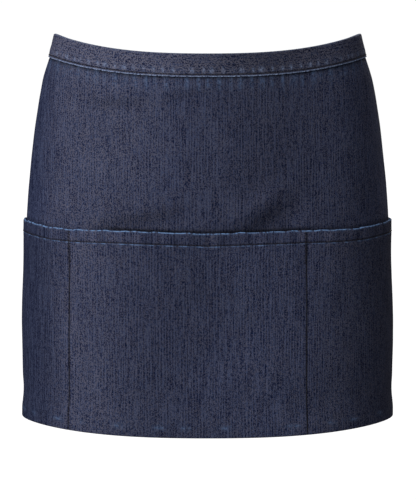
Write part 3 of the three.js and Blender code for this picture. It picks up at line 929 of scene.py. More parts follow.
def make_waistband(context):
    """A strip folded over the panel's top edge, with its grain lengthwise."""
    apron = Apron(context.scene)
    cut = apron.cut
    half = apron.half_width
    across = with_edges(spaced(-half, half, 0.0019), -half, half)
    room = cut.cloth + cut.clearance
    to_end = half - np.abs(across)
    widened = 1 - smooth((to_end - cut.side_hem_width - cut.cloth) / cut.side_hem_width)
    outline = band_outline(apron, -cut.clearance)
    wide = band_outline(apron, -cut.clearance - room)
    shape = mix(outline[None], wide[None], widened[:, None, None])
    out, down = shape[..., 0], shape[..., 1]
    column = np.broadcast_to(across[:, None], out.shape)
    on_face = out > cut.cloth * 2 + cut.clearance - 1e-6
    face = apron.band_face(column, down)
    out = np.where(on_face, face, out)
    rings = apron.off(column, down / cut.apron_length, out)
    from_edge = cut.band_height - down
    seen = out > cut.cloth + cut.clearance - 1e-6
    wear = np.where(seen, near(from_edge, 0.00062), 0.2)
    caught = near(from_edge - 0.0054, 0.002)
    patches = smooth(2.0 * ripple(column, 0.0088, 3.3) - 0.05)
    wear = np.maximum(wear, np.where(on_face, 0.34 * caught * patches, 0.0))
    wear = np.maximum(wear, 0.4 * near(down, 0.0007))
    # Painted shade in the groove of the band's stitching, laid over the painted shade across the
    # band's width.
    stitched = np.where(on_face, near(from_edge - BAND_STITCH, 0.0006), 0.0)
    dark = through(PAINTED_SHADE_BAND, "dark", column / half)
    kept_dark = mix(dark, 1.0, 0.6 * stitched)
    looks = looks_of(column, down, wear=wear, washed=1.0, kept_dark=kept_dark)
    piece = swept_piece("waistband_denim", rings, looks, [denim("band_denim")])
    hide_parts("waistband")
    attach(piece, ROOT_BODY)
    return piece


def tie_middle_share(apron):
    cut = apron.cut
    return (cut.band_height - cut.clearance - cut.tie_height / 2) / cut.apron_length


def knot_middle(apron, bow):
    """Middle of the knot, behind the wearer."""
    share = tie_middle_share(apron)
    half = apron.half_at(share)
    point = apron.stand(half, share) + apron.outward(half, share) * bow.knot_seat
    return point.reshape(3)


def make_tie(context, side):
    """A folded strip from the band's end to the knot."""
    apron = Apron(context.scene)
    cut, bow = apron.cut, context.scene.apron_bow
    tongue_in = -cut.cloth - cut.clearance
    band_end = apron.half_width + cut.clearance
    middle = tie_middle_share(apron)
    shift = apron.worn.worn_shift
    start = apron.hem_start
    knot_walk = apron.half_at(middle) - bow.knot_width / 2 + bow.tie_in_knot
    knot_across = knot_walk - side * shift
    outside = spaced(band_end + PANEL_TURN_STEP, knot_across, 0.002)
    middle_of_hem = apron.half_width - cut.side_hem_width / 2
    inside = np.array([start, start + PANEL_TURN_STEP, middle_of_hem, band_end])
    along = np.concatenate([inside, outside])
    gathered = smooth((along - outside[0]) / (outside[-1] - outside[0]))
    height = mix(cut.tie_height, 0.6 * bow.knot_height, gathered)
    half = cut.tie_height / 2
    over = with_edges(spaced(-0.5, 0.5, 0.1) * cut.tie_height, -half, half)
    way = over / cut.tie_height
    share = middle + way[:, None] * height[None, :] / cut.apron_length
    in_band = (along <= band_end)[None, :]
    thick = np.where(in_band, -cut.clearance, tongue_in + cut.tie_thickness)
    gathers = 0.35 * cut.cloth * gathered * np.cos(6 * math.pi * way[:, None])
    edge = cut.tie_height / 2 - np.abs(over[:, None])
    outer = thick + gathers + 0 * share
    inner = tongue_in + gathers * 0.6 + 0 * share
    outer, inner = thinned(outer, inner, edge, 0.001)
    column = side * np.broadcast_to(along[None, :], share.shape)
    wear = 0.5 * near(edge, 0.0007)
    looks = looks_of(column, over[:, None], wear=wear, washed=0.7)
    grids = [apron.off(column, share, outer), apron.off(column, share, inner)]
    if side < 0:
        grids = [grid[:, ::-1] for grid in grids]
        looks = {label: grid[:, ::-1] for label, grid in looks.items()}
    name = "tie_left_denim" if side < 0 else "tie_right_denim"
    seen = np.zeros(share.shape, bool)
    piece = cloth_piece(name, *grids, looks, [denim("tie_denim")], seen)
    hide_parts("tie_left" if side < 0 else "tie_right")
    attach(piece, ROOT_BODY)
    return piece


def curve_through(points, steps):
    """Even points on a smooth curve through a few, with the curve's directions."""
    points = np.array(points, float)
    ends = np.concatenate([[2 * points[0] - points[1]], points, [2 * points[-1] - points[-2]]])
    dense = []
    for i in range(1, len(ends) - 2):
        p0, p1, p2, p3 = ends[i - 1 : i + 3]
        t = np.linspace(0, 1, 40, endpoint=False)[:, None]
        dense.append(
            0.5 * (2 * p1 + (p2 - p0) * t + (2 * p0 - 5 * p1 + 4 * p2 - p3) * t**2
                   + (3 * p1 - p0 - 3 * p2 + p3) * t**3)
        )
    dense = np.concatenate(dense + [points[-1:]])
    walked = np.concatenate([[0], np.cumsum(np.linalg.norm(np.diff(dense, axis=0), axis=1))])
    even = np.linspace(0, walked[-1], steps)
    made = np.stack([np.interp(even, walked, dense[:, k]) for k in range(3)], axis=1)
    way = np.gradient(made, axis=0)
    return made, way / np.linalg.norm(way, axis=1, keepdims=True), walked[-1]


def make_ribbon(name, path, half_width, width_way, thickness, steps, curl):
    """A folded strip of cloth along a path, with rounded edges and a slight curl."""
    made, forward, length = curve_through(path, steps)
    half = half_width[:, None] * width_way
    lift = np.cross(forward, half)
    lift /= np.linalg.norm(lift, axis=1, keepdims=True)
    way = with_edges(spaced(-1, 1, 0.2), -1.0, 1.0)
    way = np.unique(np.concatenate([way, [-0.985, -0.95, 0.95, 0.985]]))
    thick = thickness / 2 * rounded((1 - np.abs(way)) * RIBBON_HALF_WIDTH, 0.001)
    bowed = curl * (way**2 - 0.4)
    rows = []
    for side in (1, -1):
        order = slice(None, None, -1) if side > 0 else slice(None)
        out = half[:, None] * way[order][None, :, None]
        up = lift[:, None] * (side * thick + bowed)[order][None, :, None]
        rows.append(made[:, None] + out + up)
    rings = np.concatenate(rows, axis=1)
    across = np.concatenate([way[::-1], way]) * RIBBON_HALF_WIDTH
    along = np.linspace(0, length, steps)
    wear = 0.5 * near(RIBBON_HALF_WIDTH - np.abs(across), 0.0007)
    looks = looks_of(along[:, None], across[None, :] + 0.02, wear=wear[None, :], washed=0.7)
    piece = swept_piece(name, rings, looks, [denim("tie_denim")])
    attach(piece, ROOT_BODY)
    return piece, length


def make_bow(context):
    """The knot over the two ties, a loop to each side and two hanging tails."""
    apron = Apron(context.scene)
    cut, bow = apron.cut, context.scene.apron_bow
    centre = knot_middle(apron, bow)
    knot = make_knot(centre, bow)
    narrow, full = 0.3 * bow.knot_height, cut.tie_height / 2
    steps = 64
    t = np.linspace(0, 1, steps)
    reach, droop, opening = bow.loop_length, bow.loop_droop, bow.loop_opening
    for side, word in ((-1, "left"), (1, "right")):
        loop_path = centre + np.array(
            [
                (0, 0.001, 0),
                (side * reach * 0.3, 0.002, -droop * 0.16),
                (side * reach * 0.7, 0.003, -droop * 0.6),
                (side * reach * 0.97, opening * 0.35, -droop * 0.96),
                (side * reach, opening * 0.65, -droop),
                (side * reach * 0.72, opening, -droop * 0.62),
                (side * reach * 0.3, opening * 0.55, -droop * 0.2),
                (0, 0.004, 0),
            ]
        )
        upright = np.array([side * droop, 0, reach]) / math.hypot(droop, reach)
        loop_width = mix(narrow, full, np.sin(math.pi * np.clip(t, 0.001, 0.999)) ** 0.6)
        loop, length = make_ribbon(
            f"bow_loop_{word}", loop_path, loop_width, upright, cut.tie_thickness, steps, 0.0
        )
        tail_path = centre + np.array(
            [
                (0, 0.0005, 0),
                (side * bow.tail_spread * 0.2, 0.0025 + side * 0.001, -bow.tail_length * 0.12),
                (side * bow.tail_spread * 0.5, 0.004 + side * 0.0015, -bow.tail_length * 0.4),
                (side * bow.tail_spread * 0.8, 0.007 + side * 0.002, -bow.tail_length * 0.72),
                (side * bow.tail_spread, 0.008 + side * 0.002, -bow.tail_length),
            ]
        )
        level = np.array([1.0, 0.0, 0.0])
        tail_width = mix(narrow, full, smooth(t / 0.3))
        tail, length = make_ribbon(
            f"bow_tail_{word}", tail_path, tail_width, level, cut.tie_thickness, steps, 0.0006
        )
    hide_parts("tie_bow")
    return knot


def make_knot(centre, bow):
    """A rounded knot with the creases of the strip that wraps it."""
    rings, around = 40, 64
    polar = np.linspace(0.02, math.pi - 0.02, rings)[:, None]
    turn = np.linspace(0, 2 * math.pi, around, endpoint=False)[None, :]
    def boxy(value, size):
        return np.sign(value) * np.abs(value) ** 0.75 * size / 2
    x = np.sin(polar) * np.cos(turn)
    y = np.sin(polar) * np.sin(turn)
    z = np.cos(polar) * np.ones_like(turn)
    slanted = np.abs(np.sin(2.5 * (x + 0.35 * z) * math.pi)) ** 3
    creased = 1 - 0.05 * slanted - 0.03 * near(z + 0.25, 0.08)
    sizes = ((x, bow.knot_width), (y, bow.knot_depth), (z, bow.knot_height))
    points = np.stack([boxy(value, size) for value, size in sizes], -1)
    points = centre + points * creased[..., None]
    looks = looks_of(x * 0.012, z * 0.01, wear=0.25 * (creased > 0.985), washed=0.7)
    piece = swept_piece("bow_knot", points, looks, [denim("tie_denim")])
    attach(piece, ROOT_BODY)
    return piece


def stitch_shape():
    """Points of one stitch, along it, out of the cloth and across, and its faces."""
    around = 6
    end, shoulder, middle = (0.0, 0.25), (0.55, 0.9), (0.8, 1.0)
    stations = [(-0.5, *end), (-0.32, *shoulder), (0.0, *middle), (0.32, *shoulder), (0.5, *end)]
    points, faces = [], []
    for along, lift, thick in stations:
        for k in range(around):
            angle = 2 * math.pi * k / around
            out, beside = 0.5 * thick * math.sin(angle), 0.5 * thick * math.cos(angle)
            points.append((along, 0.5 * lift + out, beside))
    for ring in range(len(stations) - 1):
        here, there = ring * around, (ring + 1) * around
        for k in range(around):
            after = (k + 1) % around
            faces.append((here + k, here + after, there + after, there + k))
    faces.append(tuple(range(around))[::-1])
    faces.append(tuple((len(stations) - 1) * around + k for k in range(around)))
    return np.array(points), faces


def make_stitches(name, seams, looks):
    """One joined mesh of stitches. Each seam is a line of points and its ways out of the cloth."""
    shape, shape_faces = stitch_shape()
    vertices, faces = [], []
    for line, out in seams:
        steps = np.linalg.norm(np.diff(line, axis=0), axis=1)
        walked = np.concatenate([[0], np.cumsum(steps)])
        count = max(1, int(walked[-1] / looks.stitch_pitch))
        ends = np.linspace(0, walked[-1], count + 1)
        at = (ends[:-1] + ends[1:]) / 2
        middle = np.stack([np.interp(at, walked, line[:, k]) for k in range(3)], axis=1)
        normal = np.stack([np.interp(at, walked, out[:, k]) for k in range(3)], axis=1)
        a = np.stack([np.interp(ends[:-1], walked, line[:, k]) for k in range(3)], axis=1)
        b = np.stack([np.interp(ends[1:], walked, line[:, k]) for k in range(3)], axis=1)
        run = (b - a) * 0.78
        normal /= np.linalg.norm(normal, axis=1, keepdims=True)
        beside = np.cross(normal, run)
        beside /= np.linalg.norm(beside, axis=1, keepdims=True)
        thick = looks.thread_thickness
        for m, r, n, s in zip(middle, run, normal, beside):
            base = len(vertices) * len(shape)
            points = m + shape[:, :1] * r + shape[:, 1:2] * n * thick + shape[:, 2:] * s * thick
            vertices.append(points)
            faces.extend([tuple(base + i for i in face) for face in shape_faces])
    vertices = np.concatenate(vertices)
    piece = new_piece(name, vertices, faces, [thread()], np.zeros(len(faces)), {})
    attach(piece, ROOT_BODY)
    return piece


def seam_line(apron, across, share, out):
    """A line of stitching and the directions out of the cloth along it."""
    across, share, out = np.broadcast_arrays(across, share, out)
    walk = across + apron.worn.worn_shift
    outward = apron.outward(walk, share)
    return apron.stand(walk, share) + outward * out[:, None], outward


def make_topstitching(context):
    """All the visible stitching, one joined mesh for each kind of seam."""
    apron = Apron(context.scene)
    cut, looks = apron.cut, context.scene.apron_looks
    length = cut.apron_length
    fine = 0.0006
    width = spaced(-apron.half_width + 0.0015, apron.half_width - 0.0015, fine)
    band_down = cut.band_height - BAND_STITCH
    band_share = np.full(len(width), band_down / length)
    band_front = seam_line(apron, width, band_share, apron.band_face(width, band_down))
    room = cut.cloth + cut.clearance
    to_end = apron.half_width - np.abs(width)
    widened = 1 - smooth((to_end - cut.side_hem_width - cut.cloth) / cut.side_hem_width)
    behind = -cut.clearance - cut.cloth - room * widened
    back_line, back_out = seam_line(apron, width, band_share, behind)
    make_stitches("band_topstitch", [band_front, (back_line, -back_out)], looks)

    stitched = cut.pocket_hem_height - HEM_STITCH
    outer, inner = apron.pocket_faces(width, stitched)
    hem_share = apron.pocket_share(width, stitched)
    hem_front = seam_line(apron, width, hem_share, outer)
    hem_back, hem_out = seam_line(apron, width, hem_share, inner)
    make_stitches("pocket_hem_stitch", [hem_front, (hem_back, -hem_out)], looks)

    down = spaced(0.0012, cut.pocket_height - 0.0012, fine)
    tacked = down[down < TACK_LENGTH]
    rows = []
    for side, rises in ((-1, down), (1, down)):
        rows.append((side * apron.seam_at, rises))
        rows.append((side * (apron.seam_at - TACK_BESIDE_SEAM), tacked))
    for side in (-1, 1):
        rows.append((side * (apron.half_width - SIDE_SEAM), down))
    seams = []
    for across, places in rows:
        column = np.full(len(places), across)
        share, face = apron.pocket_share(column, places), apron.pocket_faces(column, places)[0]
        seams.append(seam_line(apron, column, share, face))
    make_stitches("pocket_seam_stitch", seams, looks)

    seams = []
    for side in (-1, 1):
        column_at = side * (apron.hem_start + SIDE_HEM_STITCH)
        mouth = float(apron.mouth_share(np.array([column_at]))[0])
        share = spaced((cut.band_height + 0.001) / length, 1 - 0.004 / length, fine / length)
        column = np.full(len(share), column_at)
        outer, inner = apron.body_faces(column, share)
        open_part = share < mouth - 0.002
        seams.append(seam_line(apron, column[open_part], share[open_part], outer[open_part]))
        line, out = seam_line(apron, column, share, inner)
        seams.append((line, -out))
    make_stitches("side_hem_stitch", seams, looks)


class Tree:
    """A node tree under construction: new nodes with their sockets filled or linked."""

    def __init__(self, tree):
        self.tree = tree

    def node(self, kind, inputs=None, **settings):
        made = self.tree.nodes.new(kind)
        for key, value in settings.items():
            setattr(made, key, value)
        for key, value in (inputs or {}).items():
            socket = made.inputs[key]
            if isinstance(value, bpy.types.NodeSocket):
                self.tree.links.new(value, socket)
            else:
                socket.default_value = value
        return made

    def math(self, operation, a, b=0.0, clamp=False):
        settings = {"operation": operation, "use_clamp": clamp}
        return self.node("ShaderNodeMath", {0: a, 1: b}, **settings).outputs[0]

    def spread(self, value, low, high, to_low=0.0, to_high=1.0):
        """A value's range from low to high, spread smoothly over another range."""
        inputs = {"Value": value, "From Min": low, "From Max": high}
        inputs |= {"To Min": to_low, "To Max": to_high}
        node = self.node("ShaderNodeMapRange", inputs, interpolation_type="SMOOTHSTEP")
        return node.outputs["Result"]

    def noise(self, vector, detail=1.0, roughness=0.5):
        inputs = {"Vector": vector, "Scale": 1.0, "Detail": detail, "Roughness": roughness}
        return self.node("ShaderNodeTexNoise", inputs).outputs["Fac"]

    def blend(self, amount, a, b, blend_type="MIX"):
        node = self.node("ShaderNodeMix", data_type="RGBA", blend_type=blend_type)
        for socket, value in ((node.inputs[0], amount), (node.inputs[6], a), (node.inputs[7], b)):
            if isinstance(value, bpy.types.NodeSocket):
                self.tree.links.new(value, socket)
            else:
                socket.default_value = value
        return node.outputs[2]


def colour(value):
    return (*value, 1.0)


def new_group(name, inputs, outputs):
    """An empty shader node group with named sockets, or None if it was built before."""
    if name in bpy.data.node_groups:
        return bpy.data.node_groups[name], None, None
    group = bpy.data.node_groups.new(name, "ShaderNodeTree")
    for label, kind, default in inputs:
        socket = group.interface.new_socket(label, in_out="INPUT", socket_type=kind)
        if default is not None:
            socket.default_value = default
    for label, kind in outputs:
        group.interface.new_socket(label, in_out="OUTPUT", socket_type=kind)
    given = group.nodes.new("NodeGroupInput")
    result = group.nodes.new("NodeGroupOutput")
    return group, given, result


def denim_grain_group():
    """Upright slubs, weft flecks and the twill's height, over the cloth's own places."""
    group, given, result = new_group(
        "Denim grain",
        [
            ("Place", "NodeSocketVector", None),
            ("Slub Width", "NodeSocketFloat", 0.00085),
            ("Slub Length", "NodeSocketFloat", 0.03),
            ("Fleck Size", "NodeSocketFloat", 0.0009),
            ("Twill Pitch", "NodeSocketFloat", 0.0011),
            ("Rib Pitch", "NodeSocketFloat", 0.0026),
        ],
        [
            ("Slubs", "NodeSocketFloat"),
            ("Flecks", "NodeSocketFloat"),
            ("Clouds", "NodeSocketFloat"),
            ("Height", "NodeSocketFloat"),
        ],
    )
    if given is None:
        return group
    tree = Tree(group)
    parts = tree.node("ShaderNodeSeparateXYZ", {0: given.outputs["Place"]})
    x, y = parts.outputs[0], parts.outputs[1]

    def scaled(width, height, seed):
        across = tree.math("DIVIDE", x, width)
        along = tree.math("DIVIDE", y, height)
        return tree.node("ShaderNodeCombineXYZ", {0: across, 1: along, 2: seed}).outputs[0]

    slub_width, slub_length = given.outputs["Slub Width"], given.outputs["Slub Length"]
    fleck = given.outputs["Fleck Size"]
    fine = tree.noise(scaled(slub_width, slub_length, 3.1), 0.0)
    broad_width = tree.math("MULTIPLY", slub_width, 8.0)
    broad = tree.noise(scaled(broad_width, tree.math("MULTIPLY", slub_length, 3.0), 8.4), 0.0)
    short = tree.noise(scaled(slub_width, tree.math("MULTIPLY", fleck, 3.4), 6.6), 0.0)
    grains = tree.noise(scaled(fleck, fleck, 5.7), 0.0)
    wander = tree.noise(scaled(0.02, 0.06, 4.4), 0.0)
    ribs_over = tree.math("DIVIDE", x, given.outputs["Rib Pitch"])
    rib_turn = tree.math("MULTIPLY", ribs_over, 2 * math.pi)
    rib_wave = tree.math("SINE", tree.math("ADD", rib_turn, tree.math("MULTIPLY", wander, 7.0)))
    ribbed = tree.spread(tree.noise(scaled(0.026, 0.05, 7.9), 0.0), 0.32, 0.55, 0.08, 0.4)
    ribs = tree.math("MULTIPLY", rib_wave, ribbed)
    streaks = tree.math(
        "ADD", tree.spread(fine, 0.38, 0.62, 0.06, 0.86), tree.spread(short, 0.38, 0.62, -0.3, 0.3)
    )
    uneven = tree.math("ADD", ribs, tree.spread(broad, 0.32, 0.68, -0.06, 0.06))
    uneven = tree.math("ADD", uneven, tree.spread(grains, 0.4, 0.6, -0.3, 0.3))
    slubs = tree.math("ADD", streaks, uneven)
    slubs = tree.math("MAXIMUM", tree.math("MINIMUM", slubs, 1.3), 0.0)
    specks = tree.noise(scaled(fleck, tree.math("MULTIPLY", fleck, 1.2), 9.3), 0.0)
    flecks = tree.spread(specks, 0.42, 0.6)
    clouds = tree.noise(scaled(0.021, 0.026, 2.2), 3.0, 0.55)
    slope = tree.math("ADD", x, tree.math("MULTIPLY", y, 0.55))
    lines_over = tree.math("DIVIDE", slope, given.outputs["Twill Pitch"])
    turn = tree.math("MULTIPLY", lines_over, 2 * math.pi)
    twill = tree.math("MULTIPLY", tree.math("SINE", turn), 0.18)
    rise = tree.math("ADD", tree.math("MULTIPLY", slubs, 0.6), tree.math("MULTIPLY", grains, 0.5))
    height = tree.math("ADD", rise, twill)
    made = {"Slubs": slubs, "Flecks": flecks, "Clouds": clouds, "Height": height}
    for label, value in made.items():
        group.links.new(value, result.inputs[label])
    return group


def washed_cloth_group():
    """The denim's colour: warp between its darkest and palest, weft flecks where it is faded or
    painted with sheen, then darkened by painted shade.
    """
    group, given, result = new_group(
        "Washed cloth",
        [
            ("Slubs", "NodeSocketFloat", 0.5),
            ("Flecks", "NodeSocketFloat", 0.3),
            ("Clouds", "NodeSocketFloat", 0.5),
            ("Fade And Sheen", "NodeSocketFloat", 0.5),
            ("Painted Shade", "NodeSocketFloat", 0.0),
            ("Weft Shown", "NodeSocketFloat", 1.0),
            ("Deep", "NodeSocketColor", None),
            ("Warp", "NodeSocketColor", None),
            ("Weft", "NodeSocketColor", None),
        ],
        [("Color", "NodeSocketColor")],
    )
    if given is None:
        return group
    tree = Tree(group)
    warp = tree.blend(given.outputs["Slubs"], given.outputs["Deep"], given.outputs["Warp"])
    patchy = tree.spread(given.outputs["Clouds"], 0.3, 0.7, 0.85, 1.15)
    shown = tree.math("MULTIPLY", given.outputs["Flecks"], 2.15)
    shown = tree.math("MULTIPLY", shown, patchy)
    shown = tree.math("MULTIPLY", shown, given.outputs["Weft Shown"])
    amount = tree.math("MULTIPLY", shown, given.outputs["Fade And Sheen"], clamp=True)
    cloth = tree.blend(amount, warp, given.outputs["Weft"])
    # Painted shade darkens the cloth's colour, and lightens it where it is below 0.
    shade = tree.math("SUBTRACT", 1.0, tree.math("MULTIPLY", given.outputs["Painted Shade"], 0.92))
    grey = tree.node("ShaderNodeCombineColor", {0: shade, 1: shade, 2: shade}).outputs[0]
    group.links.new(tree.blend(1.0, cloth, grey, "MULTIPLY"), result.inputs["Color"])
    return group


def rubbed_edge_group():
    """Breaks up a smooth mask of wear, as rubbing leaves some yarns dark."""
    group, given, result = new_group(
        "Rubbed edge",
        [
            ("Place", "NodeSocketVector", None),
            ("Wear", "NodeSocketFloat", 0.0),
            ("Patch Size", "NodeSocketFloat", 0.004),
        ],
        [("Rubbed", "NodeSocketFloat")],
    )
    if given is None:
        return group
    tree = Tree(group)
    grow = tree.math("DIVIDE", 1.0, given.outputs["Patch Size"])
    vector = tree.node(
        "ShaderNodeVectorMath", {0: given.outputs["Place"], "Scale": grow}, operation="SCALE"
    ).outputs[0]
    patches = tree.noise(vector, 2.0, 0.6)
    kept = tree.spread(patches, 0.34, 0.6, 0.02, 1.28)
    rubbed = tree.math("MULTIPLY", given.outputs["Wear"], kept, clamp=True)
    group.links.new(rubbed, result.inputs["Rubbed"])
    return group


# How each piece's denim differs: how much of the weft shows, whether its grain runs along the
# strip instead of down it, the size of the patches in its rubbed edges and their colour.
FINISHES = {
    "panel_denim": {"weft": 0.3, "lengthwise": False, "patch": 0.003, "rubbed": "worn_blue"},
    "pocket_denim": {"weft": 0.3, "lengthwise": False, "patch": 0.0032, "rubbed": "worn_blue"},
    "band_denim": {"weft": 0.46, "lengthwise": True, "patch": 0.0017, "rubbed": "pale_edge"},
    "tie_denim": {"weft": 0.34, "lengthwise": True, "patch": 0.003, "rubbed": "pale_edge"},
}


def denim(name):
    """The right side of one piece's denim."""
    label = f"{name}_right_side"
    if label in bpy.data.materials:
        return bpy.data.materials[label]
    looks = bpy.context.scene.apron_looks
    finish = FINISHES[name]
    material, tree = new_material(label)
    # The masks carry rubbed wear, weft fade with painted sheen, and painted shade.
    place, wear, washed, kept = attributes_of(tree)
    grain_place = place
    if finish["lengthwise"]:
        parts = tree.node("ShaderNodeSeparateXYZ", {0: place})
        turned = {0: parts.outputs[1], 1: parts.outputs[0], 2: parts.outputs[2]}
        grain_place = tree.node("ShaderNodeCombineXYZ", turned).outputs[0]
    grain = grain_node(tree, grain_place, looks)
    cloth_inputs = {name: grain.outputs[name] for name in ("Slubs", "Flecks", "Clouds")}
    cloth_inputs |= {"Fade And Sheen": washed, "Painted Shade": kept, "Weft Shown": finish["weft"]}
    cloth_inputs["Deep"] = colour(looks.deep_indigo)
    cloth_inputs |= {"Warp": colour(looks.indigo), "Weft": colour(looks.weft)}
    cloth = group_node(tree, washed_cloth_group(), cloth_inputs).outputs["Color"]
    rub_inputs = {"Place": place, "Wear": wear, "Patch Size": finish["patch"]}
    rubbed = group_node(tree, rubbed_edge_group(), rub_inputs).outputs["Rubbed"]
    worn = tree.blend(rubbed, cloth, colour(getattr(looks, finish["rubbed"])))
    bump_inputs = {"Height": grain.outputs["Height"], "Strength": 0.6, "Distance": 0.0005}
    bump = tree.node("ShaderNodeBump", bump_inputs)
    surface = {"Base Color": worn, "Roughness": 0.75, "Normal": bump.outputs[0]}
    surface["Specular IOR Level"] = 0.1
    shader = tree.node("ShaderNodeBsdfPrincipled", surface)
    tree.node("ShaderNodeOutputMaterial", {"Surface": shader.outputs[0]})
    return material


def attributes_of(tree):
    """The cloth's own place, and its masks of rubbing, of fade with painted sheen, and of painted
    shade.
    """
    place = tree.node("ShaderNodeAttribute", attribute_name="cloth_place").outputs["Vector"]
    masks = [
        tree.node("ShaderNodeAttribute", attribute_name=label).outputs["Fac"]
        for label in ("wear", "washed", "kept_dark")
    ]
    return place, *masks


def new_material(label):
    """An empty material and its tree of nodes."""
    material = bpy.data.materials.new(label)
    material.use_nodes = True
    material.node_tree.nodes.clear()
    return material, Tree(material.node_tree)


def grain_node(tree, place, looks):
    """The denim's grain with the yarn sizes of the panel."""
    inputs = {
        "Place": place,
        "Slub Width": looks.slub_width,
        "Slub Length": looks.slub_length,
        "Fleck Size": looks.fleck_size,
        "Twill Pitch": looks.twill_pitch,
        "Rib Pitch": looks.rib_pitch,
    }
    return group_node(tree, denim_grain_group(), inputs)


def group_node(tree, group, inputs):
    """A node group placed in a material with its own values."""
    return tree.node("ShaderNodeGroup", inputs, node_tree=group)


def denim_reverse():
    """The wrong side of the denim, where the weft lies on top."""
    label = "denim_wrong_side"
    if label in bpy.data.materials:
        return bpy.data.materials[label]
    looks = bpy.context.scene.apron_looks
    material, tree = new_material(label)
    place = tree.node("ShaderNodeAttribute", attribute_name="cloth_place").outputs["Vector"]
    grain = grain_node(tree, place, looks)
    amount = tree.spread(grain.outputs["Flecks"], 0.0, 0.8, 0.1, 0.8)
    dark, light = [c * 0.7 for c in looks.reverse], [c * 1.6 for c in looks.reverse]
    base = tree.blend(grain.outputs["Clouds"], colour(looks.reverse), colour(dark))
    cloth = tree.blend(amount, base, colour(light))
    bump_inputs = {"Height": grain.outputs["Height"], "Strength": 0.5, "Distance": 0.0005}
    bump = tree.node("ShaderNodeBump", bump_inputs)
    surface = {"Base Color": cloth, "Roughness": 0.8, "Normal": bump.outputs[0]}
    surface["Specular IOR Level"] = 0.4
    shader = tree.node("ShaderNodeBsdfPrincipled", surface)
    tree.node("ShaderNodeOutputMaterial", {"Surface": shader.outputs[0]})
    return material


def thread():
    """Dark polyester thread, twisted from fine filaments."""
    label = "dark_thread"
    if label in bpy.data.materials:
        return bpy.data.materials[label]
    looks = bpy.context.scene.apron_looks
    material, tree = new_material(label)
    where = tree.node("ShaderNodeTexCoord").outputs["Object"]
    noise_inputs = {"Vector": where, "Scale": 900.0, "Detail": 2.0}
    spots = tree.node("ShaderNodeTexNoise", noise_inputs).outputs["Fac"]
    glint = colour([c * 2.2 for c in looks.thread])
    base = tree.blend(tree.spread(spots, 0.35, 0.7), colour(looks.thread), glint)
    bump = tree.node("ShaderNodeBump", {"Height": spots, "Strength": 0.3, "Distance": 0.0001})
    surface = {"Base Color": base, "Roughness": 0.55, "Normal": bump.outputs[0]}
    surface["Specular IOR Level"] = 0.35
    shader = tree.node("ShaderNodeBsdfPrincipled", surface)
    tree.node("ShaderNodeOutputMaterial", {"Surface": shader.outputs[0]})
    return material


def pale_paper():
    """Pale matte paper on the floor, lit so evenly that it looks white."""
    material, tree = new_material("pale_paper")
    paper = tree.node("ShaderNodeBsdfDiffuse", {"Color": (0.55, 0.55, 0.56, 1.0)})
    glow = tree.node("ShaderNodeEmission", {"Color": (1.0, 1.0, 1.0, 1.0), "Strength": 1.0})
    both = tree.node("ShaderNodeAddShader", {0: paper.outputs[0], 1: glow.outputs[0]})
    seen = tree.node("ShaderNodeLightPath").outputs["Is Camera Ray"]
    choice = tree.node("ShaderNodeMixShader", {0: seen, 1: paper.outputs[0], 2: both.outputs[0]})
    tree.node("ShaderNodeOutputMaterial", {"Surface": choice.outputs[0]})
    return material


def make_studio(context):
    """Plain pale floor, soft lights, a white surround and the camera."""
    scene = context.scene
    studio = scene.apron_studio
    half = 30.0
    corners = [(-half, -half), (half, -half), (half, half), (-half, half)]
    mesh = bpy.data.meshes.new("studio_floor")
    mesh.from_pydata([(x, y, -studio.floor_drop) for x, y in corners], [], [(0, 1, 2, 3)])
    mesh.materials.append(pale_paper())
    floor = bpy.data.objects.new("studio_floor", mesh)
    scene.collection.objects.link(floor)

    world = bpy.data.worlds.new("white_surround")
    world.use_nodes = True
    world.node_tree.nodes.clear()
    tree = Tree(world.node_tree)
    sky_inputs = {"Color": (0.98, 0.93, 1.0, 1.0), "Strength": studio.sky_strength}
    sky = tree.node("ShaderNodeBackground", sky_inputs)
    white = tree.node("ShaderNodeBackground", {"Color": (1.0, 1.0, 1.0, 1.0), "Strength": 1.02})
    seen = tree.node("ShaderNodeLightPath").outputs["Is Camera Ray"]
    both = tree.node("ShaderNodeMixShader", {0: seen, 1: sky.outputs[0], 2: white.outputs[0]})
    tree.node("ShaderNodeOutputWorld", {"Surface": both.outputs[0]})
    scene.world = world
    scene.view_settings.view_transform = "Standard"

    aim = Vector((0.0, 0.0, studio.aim_height))
    lights = [
        ("side_softbox", (-1.3, -1.5, 0.75), 0.8, studio.key_power, (1.0, 0.98, 0.99)),
        ("front_softbox", (0.9, -2.0, 0.4), 1.2, studio.fill_power, (0.8, 1.0, 1.0)),
        ("back_softbox", (0.5, 2.2, 0.9), 1.3, studio.back_power, (1.0, 0.98, 0.96)),
    ]
    for name, place, size, power, tint in lights:
        data = bpy.data.lights.new(name, "AREA")
        data.energy, data.size, data.color = power, size, tint
        light = bpy.data.objects.new(name, data)
        light.location = place
        light.rotation_euler = (aim - Vector(place)).to_track_quat("-Z", "Y").to_euler()
        scene.collection.objects.link(light)

    camera_data = bpy.data.cameras.new("front_camera")
    camera_data.sensor_width = 36.0
    focal_pixels = studio.pixels_per_metre * studio.camera_distance
    camera_data.lens = camera_data.sensor_width * focal_pixels / studio.picture_height
    camera_data.shift_x = studio.midline_shift / studio.picture_height
    camera_data.clip_end = 100.0
    camera = bpy.data.objects.new("front_camera", camera_data)
    rise = studio.camera_elevation
    away = Vector((0.0, -math.cos(rise), math.sin(rise))) * studio.camera_distance
    camera.location = aim + away
    camera.rotation_euler = (-away).to_track_quat("-Z", "Y").to_euler()
    scene.collection.objects.link(camera)
    scene.camera = camera
    return camera


class APRON_OT_waistband(bpy.types.Operator):
    """Fold the waistband over the panel's top edge"""

    bl_idname = "apron.waistband"
    bl_label = "Sew the waistband"

    def execute(self, context):
        make_waistband(context)
        return {"FINISHED"}


